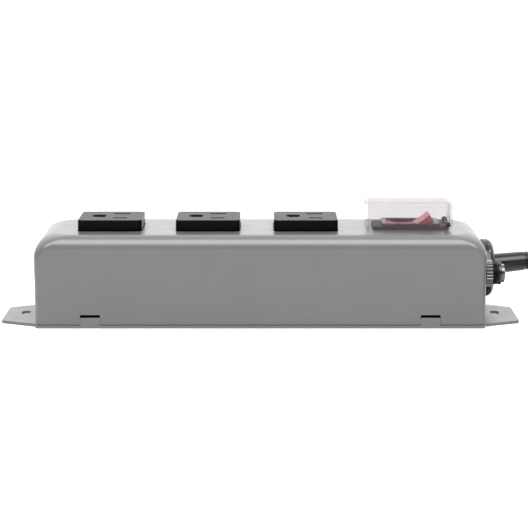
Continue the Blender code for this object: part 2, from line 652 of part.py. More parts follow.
def make_breaker():
    centre = (BREAKER_Y, BREAKER_Z)
    length, width, height = BREAKER_BODY
    front = END_INNER_X - GAP
    low = (front - length, BREAKER_Y - width / 2, BREAKER_Z - height / 2)
    body = box("breaker_body", low, (front, BREAKER_Y + width / 2, BREAKER_Z + height / 2), BLACK_PLASTIC)
    bore = BUTTON_R + GAP
    cut(body, bar("button_well", BUTTON_START - PAST, front + PAST, bore, centre, "X"))
    ring("breaker_bushing", front + GAP, BUSHING_END, bore, BUSHING_R, centre, "X", BLACK_PLASTIC)
    profile = [(BUTTON_START, 0), (BUTTON_START, BUTTON_R), (BUTTON_END - BUTTON_EDGE, BUTTON_R),
               (BUTTON_END, BUTTON_R - BUTTON_EDGE), (BUTTON_END, 0)]
    button = turned("breaker_button", profile, centre, "X", BLACK_PLASTIC)
    hang_on("breaker_button_axis", (BUTTON_START, *centre), button)
    outline = []
    for k in range(4 * NUT_RIBS):
        angle = 2 * math.pi * k / (4 * NUT_RIBS)
        radius = NUT_R - (NUT_RIB_DEPTH if k % 4 > 1 else 0)
        outline.append((centre[0] + radius * math.cos(angle), centre[1] + radius * math.sin(angle)))
    start = END_FACE_X + GAP
    nut = prism("breaker_nut", outline, "X", start, start + NUT_LENGTH, BLACK_PLASTIC)
    cut(nut, bar("nut_bore", start - PAST, start + NUT_LENGTH + PAST, BUSHING_R + GAP, centre, "X"))
    for name, z in (("line", BREAKER_Z - BREAKER_TERMINAL_RISE), ("load", BREAKER_Z + BREAKER_TERMINAL_RISE)):
        far = front - length - BREAKER_TERMINAL_LENGTH
        low_end = (far, BREAKER_Y - TERMINAL_HALF_WIDTH, z - STRIP_THICK / 2)
        high_end = (front - length - GAP, BREAKER_Y + TERMINAL_HALF_WIDTH, z + STRIP_THICK / 2)
        box(f"breaker_terminal_{name}", low_end, high_end, BRASS)


def make_gland():
    centre = (GLAND_Y, GLAND_Z)
    bore = GLAND_BODY_R + GAP
    outer_end = CAP_END - CAP_LIP - GAP
    ring("gland_body", GLAND_INNER_END, outer_end, GLAND_BORE_R, GLAND_BODY_R, centre, "X", BLACK_PLASTIC)
    inner = END_INNER_X - GAP
    hexagon = disc(centre, LOCKNUT_R, 6)
    locknut = prism("gland_locknut", hexagon, "X", inner - LOCKNUT_LENGTH, inner, BLACK_PLASTIC)
    cut(locknut, bar("locknut_bore", inner - LOCKNUT_LENGTH - PAST, inner + PAST, bore, centre, "X"))
    gasket_end = END_FACE_X + GAP + GASKET_THICK
    ring("gland_gasket", END_FACE_X + GAP, gasket_end, bore, GASKET_R, centre, "X", BLACK_RUBBER)
    start = gasket_end + GAP
    seat = CAP_END - CAP_LIP
    steps = 5
    edge = [math.pi / 2 * k / steps for k in range(steps + 1)]
    rim = [(CAP_END - CAP_ROUNDING * (1 - math.sin(a)), CAP_R - CAP_ROUNDING * (1 - math.cos(a)))
           for a in edge]
    profile = [(start, bore), (start, CAP_R), *rim, (CAP_END, CAP_MOUTH_R), (seat, CAP_MOUTH_R), (seat, bore)]
    turned("gland_cap", profile, centre, "X", BLACK_PLASTIC)


def relief_way():
    """The direction in which the cord leaves the gland: a little towards the back and a little up."""
    level = math.cos(RELIEF_PITCH)
    return Vector((level * math.cos(RELIEF_YAW), level * math.sin(RELIEF_YAW), math.sin(RELIEF_PITCH)))


def tapered(name, start, end, radii, look, sides=ROUND):
    """A round piece that narrows from one point to another."""
    bm = bmesh.new()
    way = end - start
    turn = way.to_track_quat("Z", "Y").to_matrix().to_4x4()
    where = Matrix.Translation((start + end) / 2) @ turn
    bmesh.ops.create_cone(bm, cap_ends=True, segments=sides, radius1=radii[0], radius2=radii[1],
                          depth=way.length, matrix=where)
    return place(name, bm, look)


HANK_MID_LEFT = HANK_LEFT + FOLD_R + CORD_R
HANK_MID_RIGHT = HANK_MID_LEFT + HANK_RUN
TOP_TURN_Z = LOWEST_TURN_Z + (LEVELS - 1) * LEVEL_STEP


def racetrack(radius, steps=10):
    """An outline of two long sides joined by half circles, as wide as twice the radius."""
    outline = []
    for centre, first in ((HANK_MID_RIGHT, -math.pi / 2), (HANK_MID_LEFT, math.pi / 2)):
        for k in range(steps + 1):
            angle = first + math.pi * k / steps
            outline.append((centre + radius * math.cos(angle), HANK_Y + radius * math.sin(angle)))
    return outline


def make_cord():
    relief_end = RELIEF_START + relief_way() * RELIEF_LENGTH
    tapered("strain_relief", RELIEF_START, relief_end, RELIEF_R, BLACK_RUBBER, 20)
    side_y = HANK_Y + FOLD_R
    entry_x = HANK_LEFT + 9.4 * MM
    free_route = [relief_end + relief_way() * GAP,
                  relief_end + relief_way() * 12.0 * MM,
                  Vector((180.0 * MM, 18.0 * MM, 30.6 * MM)),
                  Vector((200.0 * MM, 21.9 * MM, 32.6 * MM)),
                  Vector((entry_x, side_y, TOP_TURN_Z))]
    tube("power_cord", smooth_route(free_route, 12), CORD_R, BLACK_RUBBER)

    bottom = LOWEST_TURN_Z - CORD_R
    top = TOP_TURN_Z + CORD_R
    hank = prism("cord_hank", racetrack(FOLD_R + CORD_R), "Z", bottom, top, BLACK_RUBBER)
    cut(hank, prism("hank_eye", racetrack(FOLD_R - CORD_R), "Z", bottom - PAST, top + PAST))

    middle = (HANK_MID_LEFT + HANK_MID_RIGHT) / 2
    for way, name in ((-1, "front"), (1, "back")):
        y = HANK_Y + way * FOLD_R
        reach = CORD_R + GAP
        size = (2 * (reach + TIE_THICK), top - bottom + 2 * (GAP + TIE_THICK))
        outline = rounded(rectangle((y, (top + bottom) / 2), size), TIE_CORNER, 3)
        start, end = middle - TIE_WIDTH / 2, middle + TIE_WIDTH / 2
        tie = prism(f"hank_tie_{name}", outline, "X", start, end, BLACK_RUBBER)
        hole = rectangle((y, (top + bottom) / 2), (2 * reach, top - bottom + 2 * GAP))
        cut(tie, prism(f"tie_hole_{name}", hole, "X", middle - TIE_WIDTH, middle + TIE_WIDTH))


def make_plug():
    length, width, height = PLUG_HEAD
    outline = rounded(rectangle((PLUG_Y, PLUG_Z), (width, height)), PLUG_ROUNDING, 4)
    back = PLUG_FACE_X + length
    head = prism("plug_body", outline, "X", PLUG_FACE_X, back, BLACK_RUBBER)
    boot_start = Vector((back - PLUG_ROUNDING, PLUG_Y, PLUG_Z))
    join(head, tapered("plug_boot", boot_start, BOOT_END, BOOT_R, None, 16))
    for name, way in (("hot", -1), ("neutral", 1)):
        y = PLUG_Y + way * BLADE_SPACING / 2
        thin, wide = BLADE_HALF
        low = (PLUG_FACE_X - GAP - BLADE_LENGTH, y - thin, PLUG_BLADES_Z - wide)
        box(f"plug_{name}_blade", low, (PLUG_FACE_X - GAP, y + thin, PLUG_BLADES_Z + wide), BRASS)
    end = PLUG_FACE_X - GAP
    tip = end - PIN_LENGTH
    nose, nose_r = PIN_NOSE
    profile = [(tip, 0), (tip, nose_r), (tip + nose, PIN_R), (end, PIN_R), (end, 0)]
    turned("plug_ground_pin", profile, (PLUG_Y, PLUG_PIN_Z), "X", BRASS, 16)


def make_leads():
    """The insulated wires that join the cord, the breaker, the switch and the buses."""
    inlet_x = RELIEF_START.x - 1.2 * MM
    line_z = BREAKER_Z - BREAKER_TERMINAL_RISE
    load_z = BREAKER_Z + BREAKER_TERMINAL_RISE
    blade_end = END_INNER_X - BREAKER_BODY[0] - BREAKER_TERMINAL_LENGTH - 3 * GAP
    bus_end = BUS_RIGHT + 2 * GAP
    bus_z = BUS_TOP - STRIP_THICK / 2
    terminal_z = TERMINAL_BOTTOM - 2 * GAP
    load_x = SWITCH_X + LOAD_CONTACT_X
    ground_end = outlet_x(2) + 2 * GAP
    routes = {
        "line_lead": (WIRE_BLACK, [
            (inlet_x, GLAND_Y - 2.6 * MM, GLAND_Z - 1.5 * MM),
            (104 * MM, GLAND_Y - 3.2 * MM, GLAND_Z - 2.5 * MM),
            (98 * MM, 0, 14 * MM), (88 * MM, -9 * MM, 8 * MM), (76 * MM, -14.5 * MM, 7 * MM),
            (68.5 * MM, BREAKER_Y, 12.5 * MM), (71.5 * MM, BREAKER_Y, line_z - 0.6 * MM),
            (blade_end, BREAKER_Y, line_z)]),
        "breaker_lead": (WIRE_BLACK, [
            (blade_end, BREAKER_Y, load_z), (72 * MM, BREAKER_Y, load_z - 0.4 * MM),
            (64 * MM, -15.5 * MM, 26 * MM), (61.5 * MM, -12 * MM, 16 * MM),
            (68 * MM, -5.5 * MM, 10.5 * MM), (76.5 * MM, -1 * MM, 10 * MM),
            (SWITCH_X, 0, 13.5 * MM), (SWITCH_X, 0, terminal_z)]),
        "load_lead": (WIRE_BLACK, [
            (load_x, 0, terminal_z), (load_x, 0.8 * MM, 14 * MM), (84 * MM, 4 * MM, 9 * MM),
            (72 * MM, 4.5 * MM, 6.5 * MM), (60 * MM, 0, 9.5 * MM),
            (55.5 * MM, -5 * MM, 18 * MM), (54.5 * MM, -6.3 * MM, 23 * MM),
            (bus_end, -BLADE_SPACING / 2, bus_z)]),
        "neutral_lead": (WIRE_WHITE, [
            (inlet_x, GLAND_Y + 2.6 * MM, GLAND_Z - 1.5 * MM),
            (104 * MM, GLAND_Y + 3.2 * MM, GLAND_Z - 1.5 * MM),
            (92 * MM, 11 * MM, 17 * MM), (76 * MM, 12.5 * MM, 15 * MM), (62 * MM, 10.5 * MM, 21 * MM),
            (55 * MM, 7.2 * MM, 24 * MM), (bus_end, BLADE_SPACING / 2, bus_z)]),
        "ground_lead": (WIRE_GREEN, [
            (inlet_x, GLAND_Y, GLAND_Z + 3.0 * MM), (106 * MM, GLAND_Y, GLAND_Z + 3.0 * MM),
            (99 * MM, 12 * MM, 27.5 * MM), (91 * MM, 19 * MM, 22 * MM), (86 * MM, 21 * MM, 10 * MM),
            (70 * MM, 17 * MM, 6 * MM), (50 * MM, 8 * MM, 8 * MM), (34 * MM, 1.5 * MM, 18 * MM),
            (30.3 * MM, 0.2 * MM, 24.0 * MM), (ground_end, 0, bus_z)]),
    }
    for name, (look, route) in routes.items():
        tube(name, smooth_route(route, 18), LEAD_R, look, 1)


def main():
    clear_scene()
    make_cover()
    make_base()
    make_bonding()
    for index, side in enumerate(OUTLET_NAMES):
        make_outlet(side, outlet_x(index))
    make_buses()
    make_switch()
    make_guard()
    make_breaker()
    make_gland()
    make_cord()
    make_plug()
    make_leads()


main()
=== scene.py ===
"""Looks for a metal power strip with three sockets, a guarded rocker switch, a breaker and a put-away cord.

Lengths are in metres in the CAD model's own frame: +X runs towards the cord, +Y to the back and +Z up.
"""

import json
import math

import bmesh
import bpy
from mathutils import Matrix, Vector


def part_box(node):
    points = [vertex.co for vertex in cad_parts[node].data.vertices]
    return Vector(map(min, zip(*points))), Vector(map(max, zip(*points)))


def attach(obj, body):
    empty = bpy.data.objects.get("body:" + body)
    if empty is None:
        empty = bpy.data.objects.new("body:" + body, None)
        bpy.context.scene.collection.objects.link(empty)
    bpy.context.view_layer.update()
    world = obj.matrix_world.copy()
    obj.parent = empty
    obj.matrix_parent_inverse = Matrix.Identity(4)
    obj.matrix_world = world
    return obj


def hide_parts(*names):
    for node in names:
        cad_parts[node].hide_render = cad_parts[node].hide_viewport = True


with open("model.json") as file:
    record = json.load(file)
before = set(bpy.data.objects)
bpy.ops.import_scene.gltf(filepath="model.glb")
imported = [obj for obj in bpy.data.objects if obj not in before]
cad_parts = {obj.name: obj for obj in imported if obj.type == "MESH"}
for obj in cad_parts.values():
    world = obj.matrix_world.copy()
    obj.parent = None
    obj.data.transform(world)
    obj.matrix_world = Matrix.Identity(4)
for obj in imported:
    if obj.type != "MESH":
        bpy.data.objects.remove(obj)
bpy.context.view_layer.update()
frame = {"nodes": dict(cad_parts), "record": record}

MM = 0.001
PAST = 2 * MM  # how far a cutter runs beyond the face that it opens
GAP = 0.3 * MM  # between the cover and a socket's shoulder
TINY = 1e-6  # stands for a radius of nothing, where a turned shape meets its axis
OUTLET_NAMES = ("left", "middle", "right")

CAMERA_AT = Vector((1.95, -822.0, 203.0)) * MM
CAMERA_PITCH = math.radians(12.0)
CAMERA_LENS = 106.6

# The cord's route, as in the CAD model.
CORD_R = 4.6 * MM
RELIEF_START = Vector((121.0, 8.3, 26.1)) * MM
RELIEF_YAW = math.radians(8)
RELIEF_PITCH = math.radians(4)
RELIEF_LENGTH = 30.0 * MM
RELIEF_R = (5.6 * MM, 5.0 * MM)
HANK_LEFT = 213.0 * MM
HANK_Y = -4.0 * MM
HANK_RUN = 133.0 * MM
FOLD_R = 28.2 * MM
LEVEL_STEP = 9.3 * MM
LEVELS = 4
LOWEST_TURN_Z = 5.7 * MM
HANK_MID_LEFT = HANK_LEFT + FOLD_R + CORD_R
HANK_MID_RIGHT = HANK_MID_LEFT + HANK_RUN
TOP_TURN_Z = LOWEST_TURN_Z + (LEVELS - 1) * LEVEL_STEP
PLUG_Y = HANK_Y - FOLD_R
PLUG_Z = 13.6 * MM
BOOT_END = Vector((221.8 * MM, PLUG_Y, 7.4 * MM))
BLADE_ROOT = 0.6 * MM  # how far a blade or pin reaches into the plug's moulding

# The housing, the base plate and the sockets, as in the CAD model.
SHEET = 1.2 * MM
FRONT_RADIUS = 7.0 * MM
END_RADIUS = 11.0 * MM
CORNER_RADII = (3.5 * MM, 10.0 * MM)
PLATE_THICK = 1.6 * MM
PLATE_CORNER = 2.0 * MM
EAR_TIP_Y = (-17.9 * MM, 11.5 * MM)
EAR_ROOT_Y = (-25.6 * MM, 21.0 * MM)
EAR_CORNER = 1.6 * MM
EAR_SLOT = (126.6 * MM, -0.3 * MM)
EAR_SLOT_SIZE = (4.6 * MM, 7.6 * MM)
EAR_SLOT_ROUNDING = 2.28 * MM
TAB_X = 89.0 * MM
TAB_TOP = 5.6 * MM
NOTCH_WIDTH = 10.4 * MM
NOTCH_TOP = 7.1 * MM
FACE_SIZE = (33.8 * MM, 27.3 * MM)
FACE_RADIUS = 2.6 * MM
FACE_GAP = 0.25 * MM  # a little less than in the CAD model
POCKET_TOP = 43.7 * MM
BLADE_SPACING = 12.7 * MM
BLADE_X = 5.1 * MM  # from the middle of the socket, and so is EARTH_X
EARTH_X = -6.8 * MM
EARTH_HOLE = (6.4 * MM, 5.6 * MM)
EARTH_ROUNDING = 2.7 * MM
SLOT_WIDTH = 2.1 * MM
SLOT_LENGTHS = (7.0 * MM, 8.6 * MM)  # hot and neutral
BLADE_POCKET = (11.0 * MM, 6.4 * MM)
EARTH_POCKET = (8.6 * MM, 8.6 * MM)
LUG_X = 110.5 * MM
LUG_SIZE = 12.0 * MM
LUG_THICK = 3.0 * MM
SCREW_HOLE_R = 1.9 * MM
PLATE_HOLE_R = 3.5 * MM
STRAP_SCREW_X = -99.0 * MM

# The switch and its guard. PIVOT and HINGE are (x, z) pairs. Two knuckles stand for the CAD model's barrel.
PIVOT = (79.8 * MM, 49.2 * MM)
PIVOT_BORE_R = 1.3 * MM
SWITCH_BODY = (28.4 * MM, 15.6 * MM)
SWITCH_FLOOR = 2.0 * MM
WELL = (25.0 * MM, 13.0 * MM)
SWITCH_OPENING = (29.0 * MM, 16.2 * MM)
ROCKER_TILT = math.radians(12)
FRAME_TOP = 50.6 * MM
FRAME_SIZE = (40.0 * MM, 18.6 * MM)
FRAME_CORNER = 1.4 * MM
HINGE = (99.2 * MM, 51.3 * MM)
KNUCKLE_R = 1.5 * MM
KNUCKLE_Y = (6.5 * MM, 9.0 * MM)
GUARD_LEFT = 56.6 * MM

# The openings in the right end, as in the CAD model.
BUSHING_HOLE_R = 6.35 * MM
GLAND_HOLE_R = 10.0 * MM

# Light.
FLOOR_SIZE = 24.0
FLOOR_GLOW = (0.28, 0.70)  # beside the strip, and from FLOOR_GLOW_REACH on
FLOOR_GLOW_REACH = 1.3
SKY_FRONT = 0.36
SKY_BACK = 1.68
SOFTBOX_RISE = math.radians(60)
SOFTBOX_AWAY = 1.0
SOFTBOX_SIZE = (1.7, 0.72)
SOFTBOX_WATTS = 24.5


# ---------------------------------------------------------------- materials

def patterned(name, colours, roughness, bumps, scale=60.0, sockets=None, stretch=(1, 1, 1)):
    """A material whose colour and roughness drift a little, with fine relief.

    colours are the two ends of the drift and roughness its range. bumps are (pattern, scale, depth) triples.
    """
    made = bpy.data.materials.new(name)
    made.use_nodes = True
    nodes, links = made.node_tree.nodes, made.node_tree.links
    bsdf = nodes["Principled BSDF"]
    for socket, value in (sockets or {}).items():
        bsdf.inputs[socket].default_value = value
    place = nodes.new("ShaderNodeTexCoord")
    mapping = nodes.new("ShaderNodeMapping")
    mapping.inputs["Scale"].default_value = stretch
    links.new(place.outputs["Object"], mapping.inputs["Vector"])

    drift = nodes.new("ShaderNodeTexNoise")
    drift.inputs["Scale"].default_value = scale
    drift.inputs["Detail"].default_value = 6.0
    links.new(mapping.outputs["Vector"], drift.inputs["Vector"])
    ramp = nodes.new("ShaderNodeValToRGB")
    ramp.color_ramp.elements[0].position = 0.3
    ramp.color_ramp.elements[1].position = 0.7
    for stop, colour in zip(ramp.color_ramp.elements, colours):
        stop.color = (*colour, 1.0)
    links.new(drift.outputs["Fac"], ramp.inputs["Fac"])
    links.new(ramp.outputs["Color"], bsdf.inputs["Base Color"])

    wear = nodes.new("ShaderNodeTexNoise")
    wear.inputs["Scale"].default_value = scale * 4.3
    wear.inputs["Detail"].default_value = 4.0
    links.new(mapping.outputs["Vector"], wear.inputs["Vector"])
    spread = nodes.new("ShaderNodeMapRange")
    spread.inputs["From Min"].default_value = 0.3
    spread.inputs["From Max"].default_value = 0.7
    spread.inputs["To Min"].default_value = roughness[0]
    spread.inputs["To Max"].default_value = roughness[1]
    links.new(wear.outputs["Fac"], spread.inputs["Value"])
    links.new(spread.outputs["Result"], bsdf.inputs["Roughness"])

    last = None
    for pattern, size, depth in bumps:
        kinds = {"noise": "ShaderNodeTexNoise", "cells": "ShaderNodeTexVoronoi", "waves": "ShaderNodeTexWave"}
        texture = nodes.new(kinds[pattern])
        texture.inputs["Scale"].default_value = size
        links.new(mapping.outputs["Vector"], texture.inputs["Vector"])
        bump = nodes.new("ShaderNodeBump")
        bump.inputs["Distance"].default_value = depth
        bump.inputs["Strength"].default_value = 1.0
        height = "Distance" if pattern == "cells" else "Fac"
        links.new(texture.outputs[height], bump.inputs["Height"])
        if last:
            links.new(last.outputs["Normal"], bump.inputs["Normal"])
        last = bump
    if last:
        links.new(last.outputs["Normal"], bsdf.inputs["Normal"])
    return made


GREY_PAINT = patterned(
    "grey_paint", [(0.085, 0.087, 0.0845), (0.092, 0.094, 0.0915)], (0.36, 0.43),
    [("noise", 900.0, 0.000012)], scale=35.0, sockets={"Coat Weight": 0.5, "Coat Roughness": 0.2})
PLATE_PAINT = patterned(
    "plate_paint", [(0.092, 0.092, 0.090), (0.102, 0.102, 0.100)], (0.36, 0.46),
    [("noise", 1100.0, 0.00001)], scale=45.0, sockets={"Coat Weight": 0.4, "Coat Roughness": 0.3})
OUTLET_PLASTIC = patterned(
    "outlet_plastic", [(0.0012, 0.0008, 0.0013), (0.0022, 0.0016, 0.0024)], (0.22, 0.30),
    [("noise", 2600.0, 0.00001)], scale=120.0, sockets={"Specular IOR Level": 0.045})
BLACK_PLASTIC = patterned(
    "black_plastic", [(0.004, 0.004, 0.005), (0.008, 0.008, 0.009)], (0.14, 0.24),
    [("noise", 2400.0, 0.00001)], scale=140.0, sockets={"Specular IOR Level": 0.6})
FRAME_PLASTIC = patterned(
    "frame_plastic", [(0.008, 0.009, 0.014), (0.014, 0.016, 0.024)], (0.45, 0.55),
    [("noise", 2400.0, 0.000014)], scale=140.0, sockets={"Specular IOR Level": 0.2})
CORD_JACKET = patterned(
    "cord_jacket", [(0.005, 0.005, 0.005), (0.009, 0.009, 0.009)], (0.20, 0.30),
    [("noise", 700.0, 0.00001), ("noise", 3200.0, 0.000006)], scale=60.0)
NUT_PLASTIC = patterned(
    "nut_plastic", [(0.004, 0.004, 0.005), (0.007, 0.007, 0.008)], (0.12, 0.20),
    [("noise", 2400.0, 0.000008)], scale=140.0,
    sockets={"Specular IOR Level": 1.0, "Coat Weight": 1.0, "Coat Roughness": 0.1})
RUBBER = patterned(
    "moulded_rubber", [(0.005, 0.005, 0.005), (0.010, 0.010, 0.010)], (0.18, 0.28),
    [("noise", 3000.0, 0.000008)], scale=90.0, sockets={"Specular IOR Level": 0.45})
RED_PLASTIC = patterned(
    "red_plastic", [(0.32, 0.006, 0.026), (0.38, 0.010, 0.034)], (0.26, 0.36),
    [("noise", 1600.0, 0.000006)], scale=160.0, sockets={"Coat Weight": 0.3, "Coat Roughness": 0.15})
ZINC = patterned(
    "zinc_steel", [(0.50, 0.50, 0.49), (0.60, 0.60, 0.58)], (0.28, 0.42),
    [("cells", 900.0, 0.00001)], scale=180.0, sockets={"Metallic": 1.0})
DARK_STEEL = patterned(
    "dark_steel", [(0.03, 0.03, 0.032), (0.05, 0.05, 0.053)], (0.35, 0.5),
    [("cells", 900.0, 0.00001)], scale=180.0, sockets={"Metallic": 1.0})
BRASS = patterned(
    "brass", [(0.68, 0.49, 0.20), (0.76, 0.57, 0.27)], (0.22, 0.36),
    [("noise", 900.0, 0.00001)], scale=90.0, sockets={"Metallic": 1.0}, stretch=(0.1, 1, 1))
FIBRE = patterned(
    "grey_fibre", [(0.30, 0.29, 0.27), (0.40, 0.39, 0.36)], (0.75, 0.9),
    [("noise", 1500.0, 0.00005)], scale=300.0)
STRAP_CLOTH = patterned(
    "strap_cloth", [(0.012, 0.012, 0.013), (0.030, 0.030, 0.032)], (0.75, 0.9),
    [("waves", 900.0, 0.0001), ("cells", 1800.0, 0.0001)], scale=900.0, sockets={"Sheen Weight": 0.3})
WIRE_COLOURS = {
    "black_insulation": [(0.012, 0.012, 0.012), (0.02, 0.02, 0.02)],
    "white_insulation": [(0.62, 0.62, 0.60), (0.70, 0.70, 0.67)],
    "green_insulation": [(0.02, 0.20, 0.05), (0.03, 0.26, 0.07)],
}
WIRE = {name: patterned(name, colours, (0.35, 0.45), [("noise", 900.0, 0.00001)])
        for name, colours in WIRE_COLOURS.items()}

GUARD_EDGE_BLEND = 0.1
GUARD_DENSITY = (0.175, 1.0)  # seen square on, and edge on


def clear_plastic():
    """Thin clear plastic, a little milky and pink, that turns denser where it is seen edge on."""
    made = patterned("clear_plastic", [(0.16, 0.12, 0.14), (0.20, 0.155, 0.18)], (0.08, 0.18),
                     [("noise", 240.0, 0.00004)], scale=90.0, sockets={"Specular IOR Level": 0.2})
    nodes, links = made.node_tree.nodes, made.node_tree.links
    edge = nodes.new("ShaderNodeLayerWeight")
    edge.inputs["Blend"].default_value = GUARD_EDGE_BLEND
    density = nodes.new("ShaderNodeMapRange")
    density.inputs["To Min"].default_value, density.inputs["To Max"].default_value = GUARD_DENSITY
    links.new(edge.outputs["Facing"], density.inputs["Value"])
    links.new(density.outputs["Result"], nodes["Principled BSDF"].inputs["Alpha"])
    return made


CLEAR_PLASTIC = clear_plastic()

FINISHES = {
    "grey_paint": GREY_PAINT, "plate_paint": PLATE_PAINT, "zinc_steel": ZINC, "black_plastic": BLACK_PLASTIC,
    "black_rubber": RUBBER, "red_plastic": RED_PLASTIC, "clear_plastic": CLEAR_PLASTIC, "brass": BRASS,
    "grey_fibre": FIBRE, **WIRE,
}


# ---------------------------------------------------------------- mesh tools

def link(obj):
    bpy.context.scene.collection.objects.link(obj)
    return obj


def from_bmesh(name, bm):
    bmesh.ops.remove_doubles(bm, verts=bm.verts, dist=1e-7)
    bmesh.ops.recalc_face_normals(bm, faces=bm.faces)
    mesh = bpy.data.meshes.new(name)
    bm.to_mesh(mesh)
    bm.free()
    return link(bpy.data.objects.new(name, mesh))


def rounded(points, radius, steps=5):
    """A closed outline again, with each corner rounded. radius is one number, or one for each corner."""
    radii = radius if isinstance(radius, (list, tuple)) else [radius] * len(points)
    outline = []
    for i, here in enumerate(points):
        here = Vector(here)
        before = (Vector(points[i - 1]) - here).normalized()
        after = (Vector(points[(i + 1) % len(points)]) - here).normalized()
        half = before.angle(after) / 2
        if radii[i] <= 0:
            outline.append(here)
            continue
        centre = here + (before + after).normalized() * (radii[i] / math.sin(half))
        first = here + before * (radii[i] / math.tan(half)) - centre
        last = here + after * (radii[i] / math.tan(half)) - centre
        turn = first.angle_signed(last)
        for k in range(steps + 1):
            arm = first.copy()
            arm.rotate(Matrix.Rotation(-turn * k / steps, 2))
            outline.append(centre + arm)
    return [tuple(p) for p in outline]


def rectangle(centre, size):
    (x, y), (w, h) = centre, size
    return [(x - w / 2, y - h / 2), (x + w / 2, y - h / 2), (x + w / 2, y + h / 2), (x - w / 2, y + h / 2)]


def disc(centre, radius, sides=48):
    angles = [2 * math.pi * k / sides for k in range(sides)]
    return [(centre[0] + radius * math.cos(a), centre[1] + radius * math.sin(a)) for a in angles]


def in_space(axis, flat, along):
    """A point of an outline that is drawn square to the axis: (y, z) for X, (x, z) for Y, (x, y) for Z."""
    place_of = {"X": (along, *flat), "Y": (flat[0], along, flat[1]), "Z": (*flat, along)}
    return place_of[axis]


def skin(name, rings, closed=False):
    """A surface through rings of equally many points, capped at both ends, or closed on itself."""
    bm = bmesh.new()
    made = [[bm.verts.new(p) for p in ring] for ring in rings]
    pairs = list(zip(made, made[1:])) + ([(made[-1], made[0])] if closed else [])
    for ring, other in pairs:
        for k in range(len(ring)):
            m = (k + 1) % len(ring)
            bm.faces.new((ring[k], ring[m], other[m], other[k]))
    if not closed:
        bm.faces.new(made[0])
        bm.faces.new(made[-1])
    return from_bmesh(name, bm)


def prism(name, outline, axis, start, end):
    return skin(name, [[in_space(axis, p, along) for p in outline] for along in (start, end)])


def turned(name, profile, centre, axis, sides=48):
    """A closed profile of (distance along the axis, radius) points, turned about an axis through centre."""
    rings = [[in_space(axis, p, along) for p in disc(centre, max(radius, TINY), sides)]
             for along, radius in profile]
    return skin(name, rings, closed=True)


def block(name, centre, size, radius, low, high, edge, steps=4):
    """An upright block with rounded corners, whose top edge is rounded too."""
    rings = [[in_space("Z", p, low) for p in rounded(rectangle(centre, size), radius)]]
    for k in range(steps + 1):
        angle = math.pi / 2 * k / steps
        inset = edge * (1 - math.cos(angle))
        smaller = (size[0] - 2 * inset, size[1] - 2 * inset)
        outline = rounded(rectangle(centre, smaller), max(radius - inset, 0.02 * MM))
        rings.append([in_space("Z", p, high - edge + edge * math.sin(angle)) for p in outline])
    return skin(name, rings)


def applied(obj):
    """Makes obj's modifiers part of its mesh."""
    evaluated = obj.evaluated_get(bpy.context.evaluated_depsgraph_get())
    mesh = bpy.data.meshes.new_from_object(evaluated)
    obj.modifiers.clear()
    obj.data = mesh
    return obj


def combine(target, others, operation):
    for other in others:
        boolean = target.modifiers.new(other.name, "BOOLEAN")
        boolean.operation = operation
        boolean.solver = "EXACT"
        boolean.object = other
    applied(target)
    for other in others:
        bpy.data.objects.remove(other, do_unlink=True)
    return target


def cut(target, *cutters):
    return combine(target, cutters, "DIFFERENCE")


def join(target, *others):
    return combine(target, others, "UNION")


def soften(obj, width, segments=3, angle=35):
    """Rounds the sharp edges a little."""
    bevel = obj.modifiers.new("soft_edges", "BEVEL")
    bevel.width = width
    bevel.segments = segments
    bevel.limit_method = "ANGLE"
    bevel.angle_limit = math.radians(angle)
    bevel.use_clamp_overlap = True
    return applied(obj)


def even_shading(obj):
    """Lets large flat faces keep their own shading beside rounded edges."""
    weighted = obj.modifiers.new("even_shading", "WEIGHTED_NORMAL")
    weighted.mode = "FACE_AREA"
    weighted.weight = 100
    weighted.keep_sharp = True
    return applied(obj)


def dress(obj, material, body, nodes=(), angle=40):
    """Gives a finished piece its material and the body that it rides on."""
    obj.data.materials.clear()
    obj.data.materials.append(material)
    if obj.type == "MESH":
        obj.data.shade_smooth()
        obj.data.set_sharp_from_angle(angle=math.radians(angle))
        even_shading(obj)
    if nodes:
        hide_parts(*nodes)
    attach(obj, body)
    return obj


def frame_along(start, way):
    """A matrix that takes +Z to a direction, at a point."""
    return Matrix.Translation(start) @ way.to_track_quat("Z", "Y").to_matrix().to_4x4()


def lathe(name, profile, start, way, sides=48):
    """A profile of (distance, radius) points turned about a line, capped at both ends."""
    where = frame_along(start, way)
    rings = [[where @ Vector((x, y, along)) for x, y in disc((0, 0), max(radius, TINY), sides)]
             for along, radius in profile]
    return skin(name, rings)


# ---------------------------------------------------------------- camera and cord

def make_camera():
    data = bpy.data.cameras.new("camera")
    data.lens = CAMERA_LENS
    data.sensor_width = 36.0
    data.clip_end = 20.0
    camera = link(bpy.data.objects.new("camera", data))
    camera.location = CAMERA_AT
    camera.rotation_euler = (math.pi / 2 - CAMERA_PITCH, 0, 0)
    bpy.context.scene.camera = camera


def relief_way():
    level = math.cos(RELIEF_PITCH)
    return Vector((level * math.cos(RELIEF_YAW), level * math.sin(RELIEF_YAW), math.sin(RELIEF_PITCH)))


def smooth_route(points, count):
    """Evenly numbered points of a smooth curve through the given ones."""
    points = [Vector(p) for p in points]
    ends = [2 * points[0] - points[1], *points, 2 * points[-1] - points[-2]]
    route = []
    for n in range(count):
        at = n / (count - 1) * (len(points) - 1)
        i = min(int(at), len(points) - 2)
        t = at - i
        a, b, c, d = ends[i : i + 4]
        route.append(0.5 * (2 * b + (c - a) * t + (2 * a - 5 * b + 4 * c - d) * t * t
                            + (3 * b - a - 3 * c + d) * t ** 3))
    return route


